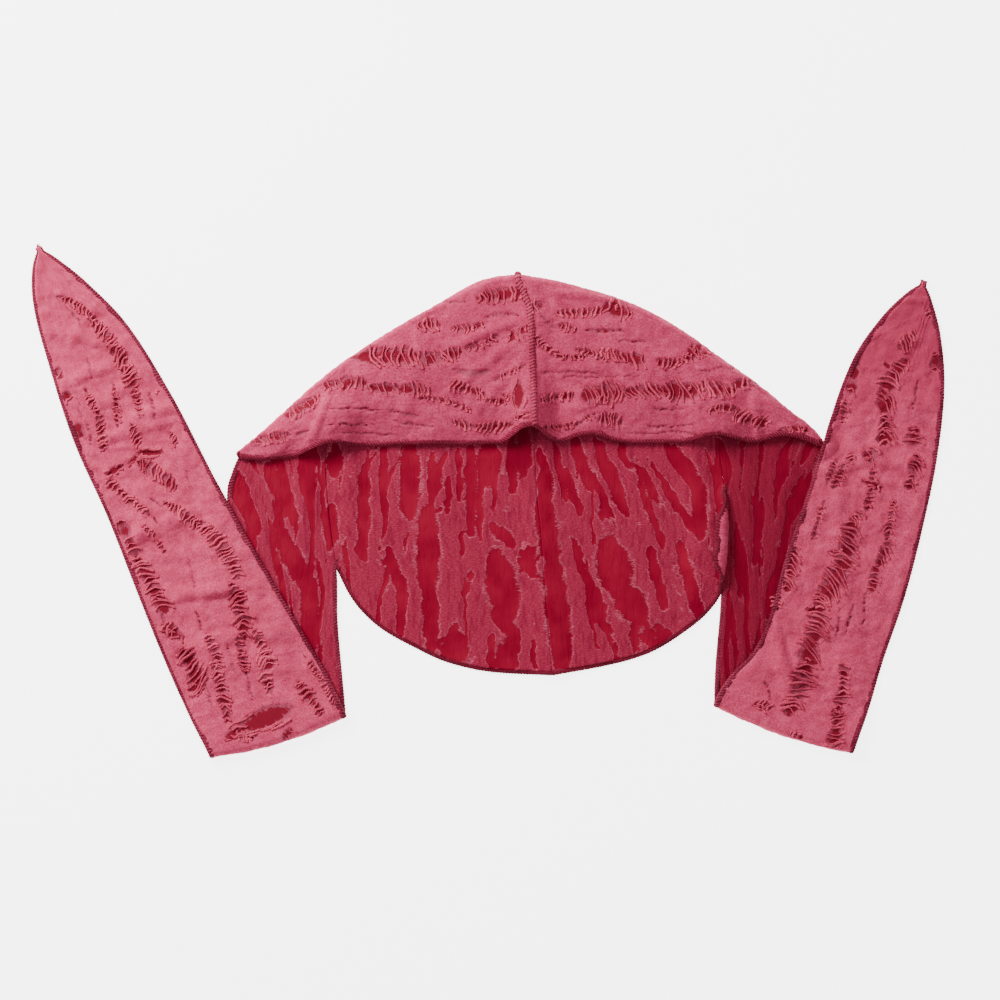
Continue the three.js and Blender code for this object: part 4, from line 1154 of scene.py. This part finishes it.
# %% Delete faces by their corners, and turn faces over
def delete_faces(piece, unwanted):
    only(piece)
    mesh = piece.data
    bpy.ops.object.mode_set(mode="EDIT")
    bpy.ops.mesh.select_mode(type="FACE")
    bpy.ops.mesh.select_all(action="DESELECT")
    bpy.ops.object.mode_set(mode="OBJECT")
    corners = np.array([face.vertices[:] for face in mesh.polygons])
    mesh.polygons.foreach_set("select", unwanted[corners].any(axis=1))
    bpy.ops.object.mode_set(mode="EDIT")
    bpy.ops.mesh.delete(type="FACE")
    bpy.ops.mesh.select_all(action="SELECT")
    bpy.ops.mesh.delete_loose()
    bpy.ops.object.mode_set(mode="OBJECT")


def flip_faces(piece):
    only(piece)
    bpy.ops.object.mode_set(mode="EDIT")
    bpy.ops.mesh.select_all(action="SELECT")
    bpy.ops.mesh.flip_normals()
    bpy.ops.object.mode_set(mode="OBJECT")


# %% Lay one crown panel
# Creases fade out towards the fold, the seam, the corner and the hem, and slow waves cross the tail. The
# attribute cloth holds each place on the flat cloth, and knit_up says where the knit is the upper face.
def lay_panel(side):
    piece, share, along = flat_grid(side + "_crown_cloth", panel_lanes, panel_rows)
    places = crown_point(side, share, along)
    x, y = places[:, 0].copy(), places[:, 1].copy()
    on_front = ease((1.25 - along) / 0.3) * ease(share / 0.03) * ease((1 - share) / 0.06)
    places[:, 2] += crease_height("front", x, y) * on_front * mix(0.5, 1, ease(along / 0.12))
    inward = share / side_share
    on_tail = (along > 2.6) * ease((inward - 0.02) / 0.1) * ease((0.97 - inward) / 0.1)
    places[:, 2] += np.maximum(0.35 + 0.5 * noise(x / 22, y / 40, 51), 0) * on_tail
    put_places(piece.data, places)
    weft = sign[side] * share * crown_half_width
    warp = np.where(along <= 1, y, 2 * crown_height - y)
    write_attribute(piece.data, "cloth", np.stack([weft, warp, 0 * warp], axis=-1))
    rolled = (along > 3) & (share > 0.9 * side_share)
    write_attribute(piece.data, "knit_up", (along < 1.5) | rolled)
    delete_faces(piece, (share > side_share + 1e-6) & (along > 3 + 1e-6))
    return piece


# %% Lay one strap
still_rim = 6
turn_length = 8


def lay_strap(side):
    piece, across, along = flat_grid(side + "_strap_cloth", strap_lanes, strap_rows)
    places = strap_point(side, along, across)
    x, y = places[:, 0].copy(), places[:, 1].copy()
    rim = ease(np.minimum(across, 1 - across) * strap_width / still_rim)
    on_top = clamp((along - 2.02) / 0.1) * mix(0.35, 1, rim)
    places[:, 2] += (1.3 * crease_height(side, x, y) + 0.5) * on_top
    put_places(piece.data, places)
    down = strap_drop[side] * clamp(along)
    turn = turn_length * clamp(along - 1)
    up = strap_reach[side] * clamp(along - 2)
    weft = (across - 0.5) * strap_width
    write_attribute(piece.data, "cloth", np.stack([weft, down + turn + up, 0 * up], axis=-1))
    write_attribute(piece.data, "knit_up", along > 1.5)
    return piece


# %% Wear, patches and painted shade become attributes of the sheet
# The satin is darkened with painted shade on the right strap's way down and in the mouth of the fold at the
# seam, and the knit is darkened towards mauve with painted shade at the top of the right strap.
def mark_sheet(piece, layer):
    mesh = piece.data
    places = read_vertices(mesh, "co")
    x, y = places[:, 0], places[:, 1]
    weft, warp = read_attribute(mesh, "cloth")[:, :2].T
    knit_up = read_attribute(mesh, "knit_up")[:, 0] > 0.5
    hidden_wear = 1.25 * noise(weft / 26, warp / 5.5, 41) - 0.15
    torn = np.where(knit_up, torn_field(layer, x, y), hidden_wear)
    patch = patch_field(x, y)
    # Painted shade: darker satin at the right root and in the mouth of the fold, darker knit at the top of
    # the right strap.
    shade_on_root = 0.64 * ease((x - 116) / 16)
    shade_in_mouth = bump((x + 3) / 15) * ease((y + 34) / 30)
    shade_on_strap_top = 0.5 * ease((x - 180) / 30) * ease((y - 5) / 50)
    write_attribute(mesh, "torn", torn)
    write_attribute(mesh, "patch", patch)
    write_attribute(mesh, "painted_shade", np.where(knit_up, shade_on_strap_top, np.maximum(shade_on_root, shade_in_mouth)))
    return torn + 0.22 * noise(x / 1.9, y / 1.9, 43), patch


# %% The sheet gets its wall, its sunken tears and its raised patches
knit_depth = 0.6
lip_height = 0.4
patch_height = 0.4
table_clearance = 0.02


def add_wall(piece, face, back, rim):
    """Give a sheet its thickness, with one material on each face and one on the rim."""
    for material in (face, back, rim):
        piece.data.materials.append(material)
    only(piece)
    bpy.ops.object.modifier_add(type="SOLIDIFY")
    wall = piece.modifiers[-1]
    wall.thickness = cloth_thickness
    wall.offset = 0
    wall.use_rim = True
    wall.material_offset = 1
    wall.material_offset_rim = 2
    bpy.ops.object.modifier_apply(modifier=wall.name)


def thicken_sheet(piece, torn, patch, knit):
    mesh = piece.data
    places = read_vertices(mesh, "co")
    normals = read_vertices(mesh, "normal")
    add_wall(piece, knit, satin_reverse, overlock_yarn)
    walls = read_vertices(mesh, "co")
    count = len(places)
    outward = np.sign(((walls[:count] - places) * normals).sum(axis=1).mean())
    sunk = knit_depth * ease((torn - 0.15) / 0.3) - lip_height * bump((torn + 0.3) / 0.4)
    raised = patch_height * ease(patch / 0.22 + 0.5)
    walls[:count] -= outward * normals * sunk[:, None]
    walls[count:2 * count] -= outward * normals * raised[:, None]
    walls[:, 2] = np.maximum(walls[:, 2], table_clearance)
    put_places(mesh, (walls + laid_at) * millimetre)
    bpy.ops.object.shade_smooth()


# %% Lay, mark and thicken all four
sheets = {}
for side in ("left", "right"):
    for kind, laid, layer, knit in (("crown", lay_panel(side), "front", crown_knit),
                                    ("strap", lay_strap(side), side, strap_knit)):
        if side == "left":
            flip_faces(laid)
        torn, patch = mark_sheet(laid, layer)
        thicken_sheet(laid, torn, patch, knit)
        sheets[side + "_" + kind] = laid
        print(laid.name, "has", len(laid.data.polygons), "faces")

# %% [markdown]
# ## Threads across the tears
# The rungs are the cross threads that still hold: bare yarn, a little arched and slack. They could be drawn
# in the material, but each casts a small shadow on the ground below. So they are curves with a round bevel,
# dropped on to the cloth by a ray from above and then made a mesh. Each runs across its band, leans a
# little and snakes, as pulled yarn does.

# %% Find the cloth under a place
def tree_of(pieces):
    corners = []
    faces = []
    for piece in pieces:
        base = len(corners)
        corners += [tuple(vertex.co) for vertex in piece.data.vertices]
        faces += [tuple(base + index for index in face.vertices) for face in piece.data.polygons]
    return BVHTree.FromPolygons(corners, faces)


ray_start = 0.2
trees = {
    "front": tree_of([sheets["left_crown"], sheets["right_crown"]]),
    "left": tree_of([sheets["left_strap"]]),
    "right": tree_of([sheets["right_strap"]]),
}


def heights_under(layer, flat):
    """Height of the cloth in metres under each place, or None where one of them has none below it."""
    heights = []
    for x, y in (flat + laid_at[:2]) * millimetre:
        hit = trees[layer].ray_cast(Vector((x, y, ray_start)), Vector((0, 0, -1)))[0]
        if hit is None:
            return None
        heights.append(hit.z)
    return np.array(heights)


def in_frame(flat, heights):
    """Places in metres from places in millimetres on the laid piece and heights in metres."""
    return np.column_stack([(flat + laid_at[:2]) * millimetre, heights])


middle_of_front = np.array([[20.0, 30.0]])
print("cloth under the middle of the front:", np.round(heights_under("front", middle_of_front), 4), "m")


# %% Make a thread a mesh
def thread_curve(name, runs, thickness):
    """One curve object whose splines are the given runs of points in metres, with their radii."""
    curve = bpy.data.curves.new(name, "CURVE")
    curve.dimensions = "3D"
    curve.bevel_depth = thickness / 2 * millimetre
    curve.bevel_resolution = 0
    curve.use_fill_caps = True
    for points, radii in runs:
        spline = curve.splines.new("POLY")
        spline.points.add(len(points) - 1)
        spline.points.foreach_set("co", np.column_stack([points, np.ones(len(points))]).ravel())
        spline.points.foreach_set("radius", radii)
    piece = bpy.data.objects.new(name, curve)
    bpy.context.scene.collection.objects.link(piece)
    only(piece)
    bpy.ops.object.convert(target="MESH")
    bpy.ops.object.shade_smooth()
    return bpy.context.object


# %% One rung across a tear
rung_points = 7
rung_overlap = 1.15
rung_rise = 0.3 * millimetre
rung_sag = 0.25 * millimetre
rung_body = np.array([1.0, 1.1, 0.95, 0.85, 0.95, 1.1, 1.0])


def rung_over(layer, middle, reach, ways, lean, arch, random):
    """Points and radii of one rung, or None where no cloth lies under it."""
    along, across = ways
    q = np.linspace(-rung_overlap, rung_overlap, rung_points)
    snake = arch * np.cos(q * 1.5 + random.uniform(-0.6, 0.6))
    wave = 0.42 * np.sin(q * random.uniform(2.8, 4.6) + random.uniform(0, 6))
    aside = lean * reach * q + snake + wave + random.normal(0, 0.12, rung_points)
    flat = middle + np.outer(q * reach, across) + np.outer(aside, along)
    base = heights_under(layer, flat)
    if base is None:
        return None
    level = np.interp(q, [-rung_overlap, rung_overlap], [base[0], base[-1]])
    points = in_frame(flat, np.maximum(level - rung_sag, base + rung_rise))
    return points, random.uniform(0.45, 1.25) * rung_body


# %% Rungs of every torn band: the range of their lean, and how much they arch
rung_habits = {"front": (-0.45, 0.3, 0.34), "left": (-0.35, 0.2, 0.42), "right": (-0.2, 0.35, 0.42)}
least_open = 0.7
least_reach = 1.2


def rungs_of(layer, pitch, random):
    runs = []
    low, high, arch = rung_habits[layer]
    for number, band in enumerate(band_lists[layer]):
        start, length, along, across, bow, half, openness = band_frame(band)
        if half < run_half or openness < least_open:
            continue
        s = random.uniform(0.3, 1.0) * pitch
        lean = random.uniform(low, high)
        swirl = random.uniform(0.5, 1.3) * (random.choice([-1, 1]) if layer == "front" else -1)
        while s < length - 0.5:
            share = s / length
            reach = float(band_half_width(half, np.array(share), length, number))
            middle = start + along * s + across * bow * 4 * share * (1 - share)
            if reach > least_reach and not in_hole(layer, middle):
                bend = arch * reach * swirl
                runs.append(rung_over(layer, middle, reach, (along, across), lean, bend, random))
            lean = np.clip(lean + random.normal(0, 0.17), low - 0.2, high + 0.2)
            swirl += random.normal(0, 0.22)
            s += pitch * random.uniform(0.6, 1.6)
    return [run for run in runs if run is not None]


# %% Loose strands along the lips of the larger holes
strand_points = 14
least_hole = 12
large_hole = 30


def strand_along(layer, place, long_way, wide_way, random):
    """Points and radii of one strand, or None where no cloth lies under it."""
    first = random.uniform(-1.2, 0.2)
    last = first + random.uniform(0.5, 1.1)
    t = np.linspace(first, min(last, 1.3), strand_points)
    lip = random.choice([-1, 1]) * random.uniform(0.7, 1.15)
    rise = np.sqrt(np.clip(1 - (t / 1.35) ** 2, 0, 1))
    wave = 0.55 * np.sin(t * random.uniform(4, 9) + random.uniform(0, 6))
    flat = place + np.outer(t, long_way) + np.outer(rise * lip, wide_way)
    flat = flat + np.outer(wave, wide_way / np.linalg.norm(wide_way))
    top = heights_under(layer, flat)
    if top is None:
        return None
    smoothed = np.convolve(np.pad(top, 1, mode="edge"), [0.3, 0.4, 0.3], "valid")
    points = in_frame(flat, np.maximum(top, smoothed) + rung_rise)
    return points, np.full(strand_points, random.uniform(0.6, 1.05))


def strands_of(layer, random):
    runs = []
    for px, py, length, width, tilt in hole_lists[layer]:
        if length < least_hole:
            continue
        turn = math.radians(tilt)
        long_way = np.array([math.cos(turn), math.sin(turn)]) * length * pixel_size / 2
        wide_way = np.array([-math.sin(turn), math.cos(turn)]) * width * pixel_size / 2
        for strand in range(7 if length > large_hole else 4):
            runs.append(strand_along(layer, seen(px, py), long_way, wide_way, random))
    return [run for run in runs if run is not None]


# %% All rungs and strands, one piece for each sheet that they lie on
rung_pitch = 2.7
ladder_thickness = 1.75
thread_names = {"front": "crown_ladder_threads", "left": "left_strap_ladder_threads",
                "right": "right_strap_ladder_threads"}
random = np.random.default_rng(5)
rung_runs = {layer: rungs_of(layer, rung_pitch, random) + strands_of(layer, random) for layer in band_lists}
ladder_threads = {layer: thread_curve(thread_names[layer], runs, ladder_thickness)
                  for layer, runs in rung_runs.items()}
print("rungs:", {layer: len(runs) for layer, runs in rung_runs.items()})

# %% [markdown]
# ## Overlocked edges
# The edges of cut knit are overlocked: threads wind round and round the edge and lock on its face. Stitches
# could be a bump in the material, but the edge is the outline of the piece, so it shows from every side.
# Each edge is a flat core that covers the rim of the sheet, and a thread that winds round it, one turn for
# each stitch. The core is the same flat grid as the cloth, rolled into a tube along the edge.

# %% Frames along an edge: place, way out of the cloth and way up
# The inner points lie beside the edge on the cloth, and show which way is out.
def edge_frames(points, inner_points):
    travel = np.gradient(points, axis=0)
    travel /= np.linalg.norm(travel, axis=1)[:, None]
    inward = inner_points - points
    out = -(inward - travel * (inward * travel).sum(axis=1)[:, None])
    out /= np.linalg.norm(out, axis=1)[:, None]
    up = np.cross(travel, out)
    return points, out, up, travel


def resample(frames, spacing):
    """The same frames at even distances along the edge."""
    lengths = np.linalg.norm(np.diff(frames[0], axis=0), axis=1)
    distance = np.concatenate([[0], np.cumsum(lengths)])
    at = np.arange(0, distance[-1], spacing)
    resampled = [np.column_stack([np.interp(at, distance, values[:, k]) for k in range(3)])
                 for values in frames]
    for values in resampled[1:]:
        values /= np.linalg.norm(values, axis=1)[:, None]
    return resampled


# %% A core swept along an edge
core_step = 1.6
tip_share = 0.7
tip_run = 30


def slimmer(points, tip):
    """Share of the full width: less near the tip of a strap, where two edges meet."""
    if tip is None:
        return np.ones((len(points), 1))
    return np.clip(tip_share + np.linalg.norm(points - tip, axis=1) / tip_run, 0, 1)[:, None]


def swept_core(name, frames, section, tip=None):
    """A closed band along the frames; the section's points are out and up in millimetres."""
    points, out, up = resample(frames[:3], core_step)
    size = slimmer(points, tip)
    loop = np.array(section + section[:1])
    piece, lane, ring = flat_grid(name, np.arange(len(loop)), np.arange(len(points)))
    places = points[ring] + (out[ring] * loop[lane, :1] + up[ring] * loop[lane, 1:]) * size[ring]
    places[:, 2] = np.maximum(places[:, 2], table_clearance)
    put_places(piece.data, (places + laid_at) * millimetre)
    only(piece)
    bpy.ops.object.mode_set(mode="EDIT")
    bpy.ops.mesh.select_all(action="SELECT")
    bpy.ops.mesh.remove_doubles(threshold=0.01 * millimetre)
    bpy.ops.mesh.fill_holes(sides=0)
    bpy.ops.mesh.normals_make_consistent(inside=False)
    bpy.ops.object.mode_set(mode="OBJECT")
    bpy.ops.object.shade_smooth()
    return piece


# %% A thread wound round an edge
turn_points = 8
thread_clearance = 0.55


def wound_thread(frames, pitch, aside, above, slant, looseness, tip=None):
    """One long thread with a turn for each stitch, as the runs that thread_curve takes.

    Aside and above are the middle and the half width of its turns, out of the cloth and up, in millimetres.
    Looseness is how much the turns vary, over how many points, and the seed of the noise.
    """
    points, out, up, travel = resample(frames, pitch / turn_points)
    count = np.arange(len(points))
    turn = count * 2 * np.pi / turn_points
    share, run, seed = looseness
    loose = 1 + share * noise(count / run, np.zeros(len(points)), seed)
    sideways = aside[0] + aside[1] * np.cos(turn) * loose
    height = above[0] + above[1] * np.sin(turn)
    size = slimmer(points, tip)
    path = points + (out * sideways[:, None] + up * height[:, None]) * size
    path = path + travel * (slant * pitch * np.cos(turn))[:, None]
    path[:, 2] = np.maximum(path[:, 2], thread_clearance)
    return [((path + laid_at) * millimetre, size[:, 0])]


# %% The runs of the four edges
slit_overlap = 5


def across_both(lanes, along):
    """A line across both crown panels from the left side to the right one."""
    left = crown_point("left", lanes[::-1], np.full(len(lanes), along))
    right = crown_point("right", lanes, np.full(len(lanes), along))
    return np.concatenate([left, right[1:]])


def tail_edge():
    lanes = panel_lanes[panel_lanes <= side_share + 1e-9]
    along = panel_rows[(panel_rows > 3.03) & (panel_rows < 3.995)]
    sides = {}
    for side in ("left", "right"):
        edge = crown_point(side, np.full(len(along), side_share), along)
        inner = crown_point(side, np.full(len(along), side_share * 0.985), along)
        keep = edge[:, 1] < slit_overlap - slit_drop[side]
        sides[side] = edge[keep], inner[keep]
    hem = across_both(lanes, 4.0), across_both(lanes * 0.985, 3.97)
    return [np.concatenate([sides["left"][k], hem[k], sides["right"][k][::-1]]) for k in (0, 1)]


def strap_edge(side):
    outer = strap_point(side, strap_rows, np.full(len(strap_rows), 1.0))
    outer_in = strap_point(side, strap_rows, np.full(len(strap_rows), 0.97))
    rows = strap_rows[::-1]
    inner = strap_point(side, rows, np.zeros(len(rows)))
    inner_in = strap_point(side, rows, np.full(len(rows), 0.03))
    keep = (rows > 1) | (inner[:, 1] < slit_overlap - slit_drop[side])
    return np.concatenate([outer, inner[keep]]), np.concatenate([outer_in, inner_in[keep]])


edges = {
    "front": (across_both(panel_lanes, 0.0), across_both(panel_lanes, 0.03)),
    "tail": tail_edge(),
    "left_strap": strap_edge("left"),
    "right_strap": strap_edge("right"),
}
print("points along each edge:", {name: len(points) for name, (points, inner) in edges.items()})

# %% Core and stitches of each edge
core_section = [(-1.3, 0.85), (0.3, 1.0), (1.8, 0.6), (2.3, 0), (1.8, -0.6), (0.3, -1.0), (-1.3, -0.85)]
least_step = 0.02
stitch_pitch = 1.9
stitch_thickness = 0.75
tips = {side + "_strap": strap_point(side, np.array(3.0), np.array(0.5)) for side in ("left", "right")}
edge_pieces = {}
for name, (points, inner) in edges.items():
    apart = np.linalg.norm(np.diff(points, axis=0), axis=1) > least_step
    keep = np.concatenate([[True], apart])
    frames = edge_frames(points[keep], inner[keep])
    tip = tips.get(name)
    core = swept_core(name + "_edge_core", frames, core_section, tip)
    turns = wound_thread(frames, stitch_pitch, (0.45, 1.85), (0, 1.05), 0.5, (0.12, 6, 61), tip)
    wound = thread_curve(name + "_overlock_thread", turns, stitch_thickness)
    edge_pieces[name] = (core, wound)
    print(name, "edge:", len(core.data.polygons), "core faces,", len(wound.data.polygons), "thread faces")

# %% [markdown]
# ## The centre seam
# The two panels are sewn with the seam allowance outside, so it stands up as a narrow ridge over the head.
# It could be pinched up out of the panels, but on the real piece it is its own fold of cloth, held by its
# own stitches. So it is built as the edges are: a core with a thread wound round it.

# %% Seam ridge over the forehead layer, round the fold and under the nape
def seam_frames():
    along = panel_rows
    line = crown_point("right", np.zeros(len(along)), along)
    travel = np.gradient(line, axis=0)
    travel /= np.linalg.norm(travel, axis=1)[:, None]
    across = np.array([1.0, 0, 0]) - travel * travel[:, :1]
    across /= np.linalg.norm(across, axis=1)[:, None]
    up = np.cross(across, travel)
    return line, across, up, travel


seam = seam_frames()
seam_base = cloth_thickness / 2
seam_section = [(-1.9, seam_base - 0.3), (-1.2, seam_base + 1.0), (0, seam_base + 1.5),
                (1.2, seam_base + 1.0), (1.9, seam_base - 0.3)]
seam_core = swept_core("center_seam_core", seam, seam_section)

# %% Stitches of the seam
seam_turns = wound_thread(seam, 2.1, (0, 1.9), (seam_base + 0.5, 1.1), 0.6, (0.35, 5, 62))
seam_thread = thread_curve("center_seam_thread", seam_turns, 0.8)
print("seam thread faces:", len(seam_thread.data.polygons))

# %% [markdown]
# ## What each piece stands for
# A durag has no joints, so all pieces ride on one body. Each sheet, core and seam takes the place of the
# plain solid that has its shape, while threads only add to them. A panel was cut 184 by 370 mm, from the hem
# over the fold to the tail, and a strap 93.5 by 550 mm; both taper.

# %% The sheets of cloth
for key, piece in sheets.items():
    side, kind = key.split("_")
    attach(piece, "root")
    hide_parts(side + ("_crown_panel" if kind == "crown" else "_strap"))
print("sheets declared:", len(sheets))


# %% The threads, edges and seam
def finish_thread(piece, yarn):
    piece.data.materials.clear()
    piece.data.materials.append(yarn)
    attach(piece, "root")


for layer, piece in ladder_threads.items():
    finish_thread(piece, ladder_yarn)

edge_yarns = {"front": hem_yarn, "tail": tail_yarn,
              "left_strap": overlock_yarn, "right_strap": overlock_yarn}
for name, (core, wound) in edge_pieces.items():
    finish_thread(core, core_yarn)
    finish_thread(wound, edge_yarns[name])
    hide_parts(name + "_edging")
finish_thread(seam_core, ridge_yarn)
finish_thread(seam_thread, seam_yarn)
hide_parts("center_seam")

# %% [markdown]
# ## Table, light and camera
# The photograph was taken straight down on a white table under soft light. One lamp overhead would flatten
# the knit, so a broad lamp hangs low to the upper left, where it draws out folds and threads, and a weaker
# one fills from the right. The camera looks down with a long lens, which keeps the edges upright.

# %% White table
bpy.ops.object.select_all(action="DESELECT")
bpy.ops.mesh.primitive_plane_add(size=6, location=(0, 0, 0))
table = bpy.context.object
table.name = "table"
paper, tree, shader = new_material("white paper")
shader.inputs["Base Color"].default_value = linear("#fbfbfb")
shader.inputs["Roughness"].default_value = 0.9
shader.inputs["Emission Color"].default_value = (1, 1, 1, 1)
shader.inputs["Emission Strength"].default_value = 4.5
table.data.materials.append(paper)
table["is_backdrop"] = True

# %% Lamps that look at the middle of the table, with their size in metres and power in watts, and the sky
def lamp(name, place, size, power):
    light = bpy.data.lights.new(name, "AREA")
    light.shape = "SQUARE"
    light.size = size
    light.energy = power
    made = bpy.data.objects.new(name, light)
    made.location = place
    made.rotation_euler = (-Vector(place)).to_track_quat("-Z", "Y").to_euler()
    bpy.context.scene.collection.objects.link(made)


lamp("key softbox", (-0.8, 0.85, 0.8), 0.6, 33)
lamp("fill softbox", (1.3, -0.6, 1.8), 1.6, 9)
world = bpy.data.worlds.new("studio")
bpy.context.scene.world = world
world.use_nodes = True
sky = world.node_tree.nodes["Background"]
sky.inputs["Color"].default_value = (1, 1, 1, 1)
sky.inputs["Strength"].default_value = 0.46

# %% Camera straight above, at 0.64 mm for each pixel of a 1000 pixel picture
camera_height = 2.5
picture_pixels = 1000
picture_width = picture_pixels * pixel_size * millimetre
lens = bpy.data.cameras.new("overhead camera")
lens.sensor_width = 36
lens.lens = lens.sensor_width * camera_height / picture_width
lens.clip_end = 20
camera = bpy.data.objects.new("overhead camera", lens)
middle = (seen(picture_pixels / 2, picture_pixels / 2) + laid_at[:2]) * millimetre
camera.location = (middle[0], middle[1], camera_height)
bpy.context.scene.collection.objects.link(camera)
bpy.context.scene.camera = camera
print("lens:", round(lens.lens, 1), "mm")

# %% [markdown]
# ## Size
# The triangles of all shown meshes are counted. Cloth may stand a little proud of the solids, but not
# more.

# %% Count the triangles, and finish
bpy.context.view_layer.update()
total = sum(len(piece.data.loop_triangles) or len(piece.data.polygons) * 2 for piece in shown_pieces()
            if piece.type == "MESH")
print("about", total, "triangles")
